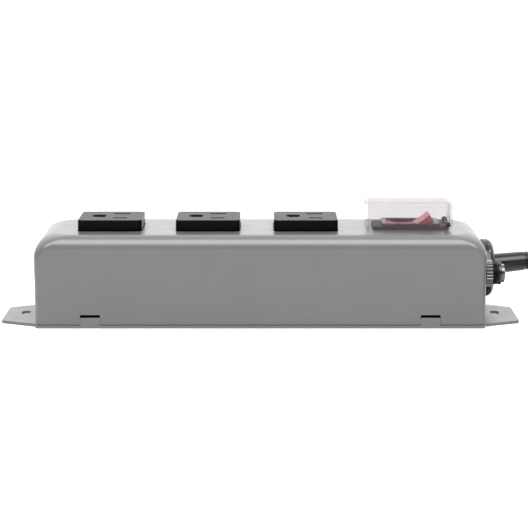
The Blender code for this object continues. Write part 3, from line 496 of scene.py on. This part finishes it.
def hank_route():
    """Four turns, each level but for its left fold, which comes down to the next turn."""
    back_y, front_y = HANK_Y + FOLD_R, HANK_Y - FOLD_R
    run_steps, fold_steps = 12, 22
    route = []

    def fold_point(middle_x, angle, z):
        return Vector((middle_x + FOLD_R * math.cos(angle), HANK_Y + FOLD_R * math.sin(angle), z))

    for turn in range(LEVELS):
        z = TOP_TURN_Z - turn * LEVEL_STEP
        for k in range(run_steps):
            route.append(Vector((HANK_MID_LEFT + HANK_RUN * k / run_steps, back_y, z)))
        for k in range(fold_steps):
            angle = math.pi / 2 - math.pi * k / fold_steps
            route.append(fold_point(HANK_MID_RIGHT, angle, z))
        for k in range(run_steps + 1):
            route.append(Vector((HANK_MID_RIGHT - HANK_RUN * k / run_steps, front_y, z)))
        if turn == LEVELS - 1:
            continue
        for k in range(1, fold_steps):
            share = k / fold_steps
            angle = -math.pi / 2 - math.pi * share
            drop = LEVEL_STEP * share * share * (3 - 2 * share)
            route.append(fold_point(HANK_MID_LEFT, angle, z - drop))
    return route


def make_cord():
    relief_end = RELIEF_START + relief_way() * RELIEF_LENGTH
    entry = Vector((222.4 * MM, HANK_Y + FOLD_R, TOP_TURN_Z))
    free = smooth_route([relief_end - relief_way() * 6.0 * MM,
                         relief_end + relief_way() * 12.0 * MM,
                         Vector((180.0 * MM, 18.0 * MM, 30.6 * MM)),
                         Vector((200.0 * MM, 21.9 * MM, 32.6 * MM)),
                         entry,
                         Vector((HANK_MID_LEFT, HANK_Y + FOLD_R, TOP_TURN_Z))], 24)
    tail = smooth_route([Vector((HANK_MID_LEFT, PLUG_Y, LOWEST_TURN_Z)),
                         Vector((233.0 * MM, PLUG_Y, 6.2 * MM)),
                         BOOT_END,
                         BOOT_END + Vector((-8.0, 0, 2.2)) * MM], 10)
    route = free[:-1] + hank_route() + tail[1:]
    curve = bpy.data.curves.new("mains_cord", "CURVE")
    curve.dimensions = "3D"
    spline = curve.splines.new("POLY")
    spline.points.add(len(route) - 1)
    for point, spot in zip(spline.points, route):
        point.co = (*spot, 1.0)
    curve.bevel_depth = CORD_R
    curve.bevel_resolution = 6
    curve.use_fill_caps = True
    spline.use_smooth = True
    cord = link(bpy.data.objects.new("mains_cord", curve))
    return dress(cord, CORD_JACKET, "root", ["power_cord", "cord_hank"]), relief_end


def make_relief():
    """The tapered strain relief: a collar inside the gland, a smooth sleeve and four flex grooves."""
    start_r, end_r = RELIEF_R
    groove_from, groove_step, groove_depth = 0.74, 0.06, 0.5 * MM
    profile = [(0, 0.4 * start_r), (0, start_r - 0.4 * MM), (0.4 * MM, start_r)]
    for k in range(4):
        for share, drop in ((0, 0), (0.25, groove_depth), (0.6, groove_depth), (0.85, 0)):
            along = groove_from + groove_step * (k + share)
            profile.append((RELIEF_LENGTH * along, start_r + (end_r - start_r) * along - drop))
    profile += [(RELIEF_LENGTH - 0.5 * MM, end_r), (RELIEF_LENGTH, end_r - 0.35 * MM),
                (RELIEF_LENGTH, CORD_R * 0.5)]
    relief = lathe("cord_strain_relief", profile, RELIEF_START, relief_way())
    return dress(relief, RUBBER, "root", ["strain_relief"])


def make_ties():
    """Two straps of hook-and-loop cloth, each a closed band."""
    thick = 1.0 * MM
    ties = []
    for name in ("front", "back"):
        low, high = (Vector(p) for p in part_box(f"hank_tie_{name}"))
        mid = (low + high) / 2
        outer = (high.y - low.y, high.z - low.z)
        rim = rounded(rectangle((mid.y, mid.z), outer), outer[0] / 2 - 0.05 * MM, 10)
        tie = prism(f"tie_{name}", rim, "X", low.x, high.x)
        inner = (outer[0] - 2 * thick, outer[1] - 2 * thick)
        hole = rounded(rectangle((mid.y, mid.z), inner), inner[0] / 2 - 0.05 * MM, 10)
        cut(tie, prism("tie_hole", hole, "X", low.x - PAST, high.x + PAST))
        soften(tie, 0.25 * MM, 2)
        ties.append(dress(tie, STRAP_CLOTH, "root", [f"hank_tie_{name}"]))
    return ties


def make_plug():
    """A moulded plug with a rimmed face, grip ridges, a neck and a ribbed boot."""
    low, high = (Vector(p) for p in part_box("plug_body"))
    length, width, height = 34.0, high.y - low.y, 26.6 * MM
    # Each section is its distance from the face, its shares of the width and height, and its drop, in mm.
    sections = [(0.0, 0.93, 0.93, 0), (0.8, 0.985, 0.985, 0), (1.8, 1.0, 1.0, 0), (4.4, 1.0, 1.0, 0),
                (5.0, 0.955, 0.955, 0), (6.0, 0.95, 0.95, 0)]
    for k in range(5):
        at = 8.0 + 3.2 * k
        waist = 0.95 - 0.03 * k
        sections += [(at + step, waist - groove, waist - groove - 0.03, 0)
                     for step, groove in ((0, 0), (0.5, 0.05), (1.3, 0.05), (1.8, 0.015))]
    sections += [(27.0, 0.80, 0.76, 0), (31.0, 0.72, 0.66, 0.3), (33.2, 0.62, 0.56, 0.6),
                 (length, 0.55, 0.50, 0.8)]
    rings = []
    for at, wide, tall, drop in sections:
        size = (width * wide, height * tall)
        radius = min(size) * (0.24 + 0.20 * min(at / length, 1.0))
        outline = rounded(rectangle((PLUG_Y, PLUG_Z - drop * MM), size), radius, 6)
        rings.append([in_space("X", p, low.x + at * MM) for p in outline])
    body = skin("plug_moulding", rings)
    join(body, plug_boot(low.x + (length - 3.0) * MM))
    dress(body, RUBBER, "root", ["plug_body"])
    return [body, *plug_blades(), earth_pin()]


def plug_boot(start_x):
    """The ribbed boot, which comes down from the plug to the cord's last turn."""
    boot_from = Vector((start_x, PLUG_Y, PLUG_Z - 0.9 * MM))
    way = BOOT_END - boot_from
    length = way.length
    profile = [(0, 6.9 * MM), (2.6 * MM, 6.9 * MM)]
    for k in range(5):
        for share, drop in ((0.0, 0), (0.3, 0.7), (0.6, 0.7), (0.9, 0)):
            along = 0.18 + 0.145 * (k + share)
            profile.append((length * along, (6.9 - 1.7 * along - drop) * MM))
    profile += [(length - 0.4 * MM, 5.25 * MM), (length, 4.95 * MM)]
    return lathe("plug_boot", profile, boot_from, way, 40)


def plug_blades():
    """The two flat blades, each with its hole. They reach a little way into the moulding."""
    blades = []
    for name in ("hot", "neutral"):
        low, high = (Vector(p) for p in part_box(f"plug_{name}_blade"))
        middle = ((low.x + high.x + BLADE_ROOT) / 2, (low.z + high.z) / 2)
        outline = rectangle(middle, (high.x - low.x + BLADE_ROOT, high.z - low.z))
        outline = rounded(outline, [1.2 * MM, 0, 0, 1.2 * MM], 4)
        blade = prism(f"{name}_blade", outline, "Y", low.y, high.y)
        hole_at = (low.x + 3.6 * MM, (low.z + high.z) / 2)
        cut(blade, prism("blade_hole", disc(hole_at, 1.6 * MM, 24), "Y", low.y - PAST, high.y + PAST))
        soften(blade, 0.2 * MM, 2)
        blades.append(dress(blade, BRASS, "root", [f"plug_{name}_blade"]))
    return blades


def earth_pin():
    """The round earth pin with its domed nose."""
    low, high = (Vector(p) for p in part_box("plug_ground_pin"))
    radius = (high.y - low.y) / 2
    centre = ((low.y + high.y) / 2, (low.z + high.z) / 2)
    end = high.x + BLADE_ROOT
    nose = [(low.x + radius * (1 - math.cos(a)), radius * math.sin(a)) for a in
            [math.pi / 2 * k / 8 for k in range(9)]]
    pin = turned("earth_pin", [*nose, (end, radius), (end, 0)], centre, "X", 32)
    return dress(pin, BRASS, "root", ["plug_ground_pin"])


make_camera()
cord, cord_exit = make_cord()
relief = make_relief()
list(make_ties())
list(make_plug())


# ---------------------------------------------------------------- housing

def make_cover():
    """The drawn cover, with its rounded edges and corners, its openings and its tab notches."""
    low, high = (Vector(p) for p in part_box("housing_cover"))
    length, depth = high.x - low.x, high.y - low.y

    def shell(name, inset, bottom, steps=18):
        top = high.z - inset
        end_radius, front_radius = END_RADIUS - inset, FRONT_RADIUS - inset
        lower, upper = (radius - inset for radius in CORNER_RADII)
        levels = [(bottom, 0.0)] + [(top - end_radius * (1 - math.sin(a)), math.sin(a))
                                    for a in (math.pi / 2 * k / steps for k in range(steps + 1))]
        rings = []
        for z, share in levels:
            end_inset = end_radius * (1 - math.sqrt(1 - share * share))
            up = max(z - (top - front_radius), 0.0) / front_radius
            front_inset = front_radius * (1 - math.sqrt(max(1 - up * up, 0.0)))
            size = (length - 2 * (inset + end_inset), depth - 2 * (inset + front_inset))
            outline = rounded(rectangle((0, 0), size), lower + (upper - lower) * share, 12)
            rings.append([in_space("Z", p, z) for p in outline])
        return skin(name, rings)

    cover = shell("cover_shell", 0.0, low.z)
    cutters = [shell("cover_hollow", SHEET, low.z - PAST)]
    deep = high.z - SHEET - PAST
    for side in OUTLET_NAMES:
        centre, size = outlet_face(side)
        opening = rectangle(centre, (size[0] + 2 * FACE_GAP, size[1] + 2 * FACE_GAP))
        opening = rounded(opening, FACE_RADIUS + FACE_GAP)
        cutters.append(prism(f"opening_{side}", opening, "Z", deep, high.z + PAST))
    switch_low, switch_high = (Vector(p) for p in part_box("switch_housing"))
    middle = (switch_low + switch_high) / 2
    opening = rectangle((middle.x, middle.y), SWITCH_OPENING)
    cutters.append(prism("switch_opening", opening, "Z", deep, high.z + PAST))
    wall = (high.x - SHEET - PAST, high.x + PAST)
    for node, radius in (("breaker_bushing", BUSHING_HOLE_R), ("gland_body", GLAND_HOLE_R)):
        a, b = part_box(node)
        hole = disc(((a[1] + b[1]) / 2, (a[2] + b[2]) / 2), radius)
        cutters.append(prism(f"{node}_hole", hole, "X", *wall))
    for x in (-TAB_X, TAB_X):
        outline = rounded(rectangle((x, low.z), (NOTCH_WIDTH, 2 * (NOTCH_TOP - low.z))), 0.3 * MM, 3)
        cutters.append(prism("notch", outline, "Y", low.y - PAST, high.y + PAST))
    cut(cover, *cutters)
    for side in (-1, 1):
        near, far = sorted((side * (LUG_X - LUG_SIZE / 2), side * (high.x - SHEET / 2)))
        lug = rectangle(((near + far) / 2, 0), (far - near, LUG_SIZE))
        join(cover, prism("lug", lug, "Z", low.z, low.z + LUG_THICK))
        screw = disc((side * LUG_X, 0), SCREW_HOLE_R, 24)
        cut(cover, prism("lug_hole", screw, "Z", low.z - PAST, low.z + LUG_THICK + PAST / 2))
    soften(cover, 0.22 * MM, 2)
    dress(cover, GREY_PAINT, "root", ["housing_cover"])


def outlet_face(side):
    """The centre and size of an outlet's raised face."""
    low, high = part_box(f"outlet_{side}")
    return ((low[0] + high[0]) / 2, (low[1] + high[1]) / 2), FACE_SIZE


def make_plate():
    """The base plate with its tapered ears, oval screw slots and upturned tabs."""
    low, high = (Vector(p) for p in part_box("base_plate"))
    cover_high = Vector(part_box("housing_cover")[1])
    ear = [(cover_high.x, EAR_ROOT_Y[0]), (high.x, EAR_TIP_Y[0]), (high.x, EAR_TIP_Y[1]),
           (cover_high.x, EAR_ROOT_Y[1])]
    right = [(cover_high.x, low.y), *ear, (cover_high.x, high.y)]
    left = [(-px, py) for px, py in reversed(right)]
    radii = [PLATE_CORNER, 0, EAR_CORNER, EAR_CORNER, 0, PLATE_CORNER]
    plate = prism("plate", rounded(right + left, radii + radii[::-1], 5), "Z", 0, PLATE_THICK)
    for side in (-1, 1):
        slot = rectangle((side * EAR_SLOT[0], EAR_SLOT[1]), EAR_SLOT_SIZE)
        slot = rounded(slot, EAR_SLOT_ROUNDING, 8)
        cut(plate, prism("slot", slot, "Z", -PAST, PLATE_THICK + PAST))
        screw_head = disc((side * LUG_X, 0), PLATE_HOLE_R, 32)
        cut(plate, prism("hole", screw_head, "Z", -PAST, PLATE_THICK + PAST))
        for front in (-1, 1):
            near, far = sorted((front * (cover_high.y - SHEET), front * cover_high.y))
            outline = rounded(rectangle((side * TAB_X, TAB_TOP / 2), (NOTCH_WIDTH - 0.1 * MM, TAB_TOP)),
                              [0, 0, 0.5 * MM, 0.5 * MM], 3)
            join(plate, prism("tab", outline, "Y", near, far))
    strap_screw = disc((STRAP_SCREW_X, 0), SCREW_HOLE_R, 24)
    cut(plate, prism("strap_hole", strap_screw, "Z", -PAST, PLATE_THICK + PAST))
    soften(plate, 0.2 * MM, 2)
    dress(plate, PLATE_PAINT, "root", ["base_plate"])


# ---------------------------------------------------------------- outlets

def slot_cutter(name, outline_of, top, depth, lead):
    """A cutter for a slot with a chamfered mouth. outline_of gives its outline for a margin."""
    levels = ((top + lead, 2 * lead), (top - lead, 0), (top - depth, 0))
    return skin(name, [[in_space("Z", p, z) for p in outline_of(margin)] for z, margin in levels])


def make_outlet(side):
    """One socket: a raised face with a D-shaped earth hole and two blade slots, on a shoulder."""
    low, high = (Vector(p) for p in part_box(f"outlet_{side}"))
    centre, size = outlet_face(side)
    x = centre[0]
    top = high.z
    outlet = block(f"socket_{side}", centre, size, FACE_RADIUS, low.z + PAST, top, 0.55 * MM)
    shoulder_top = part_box("housing_cover")[1][2] - SHEET - GAP
    shoulder = rectangle(centre, (high.x - low.x, high.y - low.y))
    join(outlet, prism("shoulder", shoulder, "Z", low.z, shoulder_top))

    def blade(pole_y, length):
        return lambda margin: rectangle((x + BLADE_X, pole_y), (length + 2 * margin, SLOT_WIDTH + 2 * margin))

    def earth(margin):
        hole = rectangle((x + EARTH_X, 0), (EARTH_HOLE[0] + 2 * margin, EARTH_HOLE[1] + 2 * margin))
        far, near = EARTH_ROUNDING + margin, 0.3 * MM
        return rounded(hole, [far, near, near, far], 6)

    depth = top - POCKET_TOP + 0.5 * MM
    cutters = [slot_cutter("hot", blade(-BLADE_SPACING / 2, SLOT_LENGTHS[0]), top, depth, 0.15 * MM),
               slot_cutter("neutral", blade(BLADE_SPACING / 2, SLOT_LENGTHS[1]), top, depth, 0.15 * MM),
               slot_cutter("earth", earth, top, depth, 0.6 * MM)]
    for px, py, room in ((BLADE_X, -BLADE_SPACING / 2, BLADE_POCKET),
                         (BLADE_X, BLADE_SPACING / 2, BLADE_POCKET), (EARTH_X, 0, EARTH_POCKET)):
        pocket = rectangle((x + px, py), room)
        cutters.append(prism("pocket", pocket, "Z", low.z - PAST, POCKET_TOP))
    cut(outlet, *cutters)
    soften(outlet, 0.12 * MM, 2)
    dress(outlet, OUTLET_PLASTIC, "root", [f"outlet_{side}"])


# ---------------------------------------------------------------- switch and guard

def tilted(outline, pivot, angle):
    """An outline in the XZ plane, relative to a pivot, turned so that +X goes down for a positive angle."""
    c, s = math.cos(angle), math.sin(angle)
    return [(pivot[0] + x * c + z * s, pivot[1] - x * s + z * c) for x, z in outline]


def make_rocker():
    """A rocker with two hollowed faces that meet in a shallow V, on its peg."""
    reach, crest, valley = 12.2 * MM, (11.0 * MM, 4.8 * MM), 1.2 * MM
    start, stop = math.atan2(crest[1], crest[0]), math.radians(-20)
    angles = [start + (stop - start) * k / 8 for k in range(9)]
    end = [(reach * math.cos(a), reach * math.sin(a)) for a in angles]
    face = []
    for k in range(1, 10):
        share = k / 10
        hollow = 0.8 * MM * math.sin(math.pi * share)
        face.append((crest[0] * share, valley + (crest[1] - valley) * share - hollow))
    right = face + end
    outline = [(0, valley), *right, *[(-x, z) for x, z in reversed(right)]]
    half = 6.2 * MM
    rocker = prism("rocker_cap", tilted(outline, PIVOT, -ROCKER_TILT), "Y", -half, half)
    peg = tilted(rectangle((0, -8.6 * MM), (3.0 * MM, 10.2 * MM)), PIVOT, -ROCKER_TILT)
    join(rocker, prism("peg", peg, "Y", -1.5 * MM, 1.5 * MM))
    cut(rocker, prism("bore", disc(PIVOT, PIVOT_BORE_R, 24), "Y", -10 * MM, 10 * MM))
    soften(rocker, 0.3 * MM, 3, 30)
    dress(rocker, RED_PLASTIC, "rocker", ["rocker"])


def make_switch():
    """The switch's case: a rimmed well for the rocker, with slots for the terminals in its floor."""
    low, high = (Vector(p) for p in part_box("switch_housing"))
    x = (low.x + high.x) / 2
    body = prism("switch_case", rectangle((x, 0), SWITCH_BODY), "Z", low.z, high.z - 0.6 * MM)
    flange = (high.x - low.x, high.y - low.y)
    join(body, block("flange", (x, 0), flange, 1.4 * MM, high.z - 1.2 * MM, high.z, 0.5 * MM))
    cut(body, prism("well", rectangle((x, 0), WELL), "Z", low.z + SWITCH_FLOOR, high.z + PAST),
        prism("bore", disc(PIVOT, PIVOT_BORE_R, 24), "Y", -10 * MM, 10 * MM))
    for offset in (0.0, 8.2 * MM):
        opening = rectangle((x + offset, 0), (1.4 * MM, 6.9 * MM))
        cut(body, prism("terminal_slot", opening, "Z", low.z - PAST, low.z + 3 * MM))
    soften(body, 0.2 * MM, 2)
    dress(body, BLACK_PLASTIC, "root", ["switch_housing"])


def make_guard_frame():
    """The black frame under the guard, open over the switch, with two hinge knuckles at its right."""
    low = Vector(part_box("guard_frame")[0])
    x = PIVOT[0]
    part = block("guard_base", (x, 0), FRAME_SIZE, FRAME_CORNER, low.z, FRAME_TOP, 0.45 * MM)
    for side in (-1, 1):
        near, far = sorted(side * y for y in KNUCKLE_Y)
        join(part, prism("knuckle", disc(HINGE, KNUCKLE_R, 32), "Y", near, far))
    cut(part, prism("opening", rectangle((x, 0), SWITCH_OPENING), "Z", low.z - PAST, FRAME_TOP + PAST),
        prism("bore", disc(HINGE, 0.62 * MM, 20), "Y", -12 * MM, 12 * MM))
    soften(part, 0.12 * MM, 2)
    dress(part, FRAME_PLASTIC, "root", ["guard_frame"])


def make_guard():
    """The clear guard: a thin-walled box open below, with a lifting lip, a beaded rim and small feet."""
    low, high = (Vector(p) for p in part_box("switch_guard"))
    left, right, top = GUARD_LEFT, high.x, high.z
    knuckle = right - HINGE[0]
    bottom = HINGE[1] - knuckle
    half = (high.y - low.y) / 2
    wall, end_wall = 1.4 * MM, 1.2 * MM
    side = rounded([(left, bottom), (right, bottom), (right, top), (left, top)],
                   [0.3 * MM, knuckle, 1.6 * MM, 1.2 * MM], 8)
    guard = prism("clear_guard", side, "Y", -half, half)
    hollow = rounded(rectangle(((left + right) / 2, (bottom + top - wall) / 2 - PAST),
                               (right - left - 2 * end_wall, top - wall - bottom + 2 * PAST)), 0.8 * MM, 4)
    room = rectangle((HINGE[0] + 2 * MM, HINGE[1] - 1.45 * MM), (7.6 * MM, 6.5 * MM))
    cut(guard, prism("hollow", hollow, "Y", wall - half, half - wall),
        prism("barrel_room", room, "Y", wall - half, half - wall),
        prism("bore", disc(HINGE, 0.9 * MM, 20), "Y", -half - PAST, half + PAST))
    lip = rounded(rectangle((left - 0.5 * MM, top - 0.75 * MM), (3.3 * MM, 1.3 * MM)), 0.5 * MM, 4)
    bead = rectangle(((left + right) / 2, top - 2.9 * MM), (right - left - 3 * MM, 0.5 * MM))
    bead = rounded(bead, 0.2 * MM, 3)
    foot = rounded(rectangle((left + 0.6 * MM, bottom + 0.6 * MM), (2.6 * MM, 1.2 * MM)), 0.4 * MM, 3)
    join(guard, prism("lip", lip, "Y", -9.0 * MM, 9.0 * MM),
         prism("bead_front", bead, "Y", -half - 0.2 * MM, -half + 0.4 * MM),
         prism("bead_back", bead, "Y", half - 0.4 * MM, half + 0.2 * MM),
         prism("foot_front", foot, "Y", -half - 0.2 * MM, 0.8 * MM - half),
         prism("foot_back", foot, "Y", half - 0.8 * MM, half + 0.2 * MM))
    soften(guard, 0.35 * MM, 3)
    dress(guard, CLEAR_PLASTIC, "switch_guard", ["switch_guard"])


# ---------------------------------------------------------------- right end

def make_breaker():
    """The breaker's ribbed nut, its threaded collar and the domed reset button in it."""
    low, high = (Vector(p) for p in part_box("breaker_nut"))
    centre = ((low.y + high.y) / 2, (low.z + high.z) / 2)
    ribs, steps, radius, depth = 24, 8, (high.z - low.z) / 2, 0.8 * MM
    rings = []
    for along, shrink in ((0, 0.6), (0.35, 0.15), (0.7, 0.0), (3.4, 0.0), (3.85, 0.2), (4.2, 0.8)):
        outline = []
        for k in range(steps * ribs):
            wave = 0.5 + 0.5 * math.cos(2 * math.pi * k / steps)
            reach = radius - shrink * MM - depth * (1 - wave ** 0.5)
            outline.append((2 * math.pi * k / (steps * ribs), reach))
        points = [(centre[0] + r * math.cos(a), centre[1] + r * math.sin(a)) for a, r in outline]
        rings.append([in_space("X", p, low.x + along * MM) for p in points])
    nut = skin("ribbed_nut", rings)
    cut(nut, prism("bore", disc(centre, BUSHING_HOLE_R), "X", low.x - PAST, high.x + PAST))
    dress(nut, NUT_PLASTIC, "root", ["breaker_nut"], 50)

    low, high = (Vector(p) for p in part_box("breaker_bushing"))
    outer, inner = 6.02 * MM, 5.15 * MM
    thread_root = outer - 0.4 * MM
    turns, pitch = 11, 0.72 * MM
    profile = [(low.x, inner), (low.x, thread_root)]
    for k in range(turns):
        start = low.x + 0.5 * MM + k * pitch
        profile += [(start, thread_root), (start + 0.3 * MM, outer)]
    profile += [(high.x - 1.6 * MM, thread_root), (high.x - 1.3 * MM, outer), (high.x - 0.35 * MM, outer),
                (high.x, outer - 0.35 * MM), (high.x, inner + 0.25 * MM), (high.x - 0.25 * MM, inner)]
    collar = turned("threaded_collar", profile, centre, "X")
    dress(collar, BLACK_PLASTIC, "root", ["breaker_bushing"])

    low, high = (Vector(p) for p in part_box("breaker_button"))
    radius = (high.z - low.z) / 2
    dome_angle = 1.2
    dome = [(high.x - 0.9 * MM * (1 - math.cos(a)) - 0.15 * MM,
             radius * 0.86 * math.sin(a) / math.sin(dome_angle))
            for a in [dome_angle * k / 6 for k in range(7)]]
    profile = [(low.x, 0), (low.x, radius), (high.x - 1.5 * MM, radius), (high.x - 1.0 * MM, radius * 0.97),
               *reversed(dome)]
    button = turned("reset_button", profile, centre, "X")
    dress(button, NUT_PLASTIC, "breaker_button", ["breaker_button"])


def make_gland():
    """The gland's domed cap, with finger grips around it and a round mouth for the cord."""
    low, high = (Vector(p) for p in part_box("gland_cap"))
    centre = ((low.y + high.y) / 2, (low.z + high.z) / 2)
    radius = (high.z - low.z) / 2
    mouth, seat = 8.2 * MM, high.x - 2.1 * MM
    rim_r, body_r, groove_r = 3.6 * MM, radius - 0.15 * MM, radius - 0.35 * MM
    rim = [(high.x - rim_r * (1 - math.sin(a)), body_r - rim_r * (1 - math.cos(a)))
           for a in [math.pi / 2 * k / 10 for k in range(11)]]
    profile = [(low.x, GLAND_HOLE_R), (low.x, radius - 0.5 * MM), (low.x + 0.4 * MM, radius),
               (low.x + 2.3 * MM, radius), (low.x + 2.5 * MM, groove_r), (low.x + 2.8 * MM, groove_r),
               (low.x + 3.0 * MM, body_r), *rim, (high.x, mouth + 1.2 * MM),
               (high.x - 0.5 * MM, mouth + 0.4 * MM), (high.x - 1.0 * MM, mouth), (seat, mouth),
               (seat, GLAND_HOLE_R)]
    cap = turned("gland_dome", profile, centre, "X", 96)
    grips, grip_at = 12, radius + 2.6 * MM
    for k in range(grips):
        angle = 2 * math.pi * (k + 0.5) / grips
        spot = (centre[0] + grip_at * math.cos(angle), centre[1] + grip_at * math.sin(angle))
        cut(cap, prism("grip", disc(spot, 3.2 * MM, 24), "X", low.x + 3.2 * MM, high.x + PAST))
    dress(cap, BLACK_PLASTIC, "root", ["gland_cap"], 30)


# ---------------------------------------------------------------- stage

def finish_cad_nodes():
    """The pieces whose CAD shape stays get their finish. The guard's pin is blackened."""
    slots = {part["node"]: part["material_slot"] for part in frame["record"]["subparts"]}
    for name, node in frame["nodes"].items():
        if node.hide_render or name not in slots:
            continue
        for place in node.material_slots:
            place.link = "OBJECT"
            place.material = DARK_STEEL if name == "guard_pin" else FINISHES[slots[name]]


def area_light(name, at, toward, size, watts):
    data = bpy.data.lights.new(name, "AREA")
    data.shape = "RECTANGLE"
    data.size, data.size_y = size
    data.energy = watts
    light = link(bpy.data.objects.new(name, data))
    light.location = at
    light.rotation_euler = (Vector(toward) - Vector(at)).to_track_quat("-Z", "Y").to_euler()


def make_floor():
    """A wide, plain pale floor that glows a little further off, where the softbox doesn't reach."""
    bm = bmesh.new()
    corners = rectangle((0, 0), (FLOOR_SIZE, FLOOR_SIZE))
    bm.faces.new([bm.verts.new((x, y, -0.02 * MM)) for x, y in corners])
    floor = from_bmesh("studio_floor", bm)
    paper = patterned("pale_paper", [(0.57, 0.57, 0.57), (0.59, 0.59, 0.59)], (0.8, 0.9),
                      [("noise", 300.0, 0.00002)], scale=8.0, sockets={"Emission Color": (1, 1, 1, 1)})
    nodes, links = paper.node_tree.nodes, paper.node_tree.links
    place = nodes.new("ShaderNodeTexCoord")
    distance = nodes.new("ShaderNodeVectorMath")
    distance.operation = "LENGTH"
    links.new(place.outputs["Object"], distance.inputs[0])
    glow = nodes.new("ShaderNodeMapRange")
    glow.inputs["From Max"].default_value = FLOOR_GLOW_REACH
    glow.inputs["To Min"].default_value, glow.inputs["To Max"].default_value = FLOOR_GLOW
    links.new(distance.outputs["Value"], glow.inputs["Value"])
    links.new(glow.outputs["Result"], nodes["Principled BSDF"].inputs["Emission Strength"])
    floor.data.materials.append(paper)


def make_light():
    """A sky that is brightest low down at the back, and one long softbox in front and overhead."""
    world = bpy.data.worlds.new("studio")
    bpy.context.scene.world = world
    world.use_nodes = True
    nodes, links = world.node_tree.nodes, world.node_tree.links
    place = nodes.new("ShaderNodeTexCoord")
    split = nodes.new("ShaderNodeSeparateXYZ")
    links.new(place.outputs["Generated"], split.inputs["Vector"])
    sky = nodes.new("ShaderNodeMapRange")
    sky.interpolation_type = "SMOOTHSTEP"
    sky.inputs["From Min"].default_value = -0.6
    sky.inputs["From Max"].default_value = 0.9
    sky.inputs["To Min"].default_value = SKY_FRONT
    sky.inputs["To Max"].default_value = SKY_BACK
    links.new(split.outputs["Y"], sky.inputs["Value"])
    nodes["Background"].inputs["Color"].default_value = (1, 1, 1, 1)
    links.new(sky.outputs["Result"], nodes["Background"].inputs["Strength"])
    away = Vector((0, -math.cos(SOFTBOX_RISE), math.sin(SOFTBOX_RISE)))
    area_light("softbox", away * SOFTBOX_AWAY, (0, 0, 0), SOFTBOX_SIZE, SOFTBOX_WATTS)


bpy.context.scene.view_settings.view_transform = "Standard"

make_cover()
make_plate()
for outlet_side in OUTLET_NAMES:
    make_outlet(outlet_side)
make_rocker()
make_switch()
make_guard_frame()
make_guard()
make_breaker()
make_gland()
finish_cad_nodes()
make_floor()
make_light()
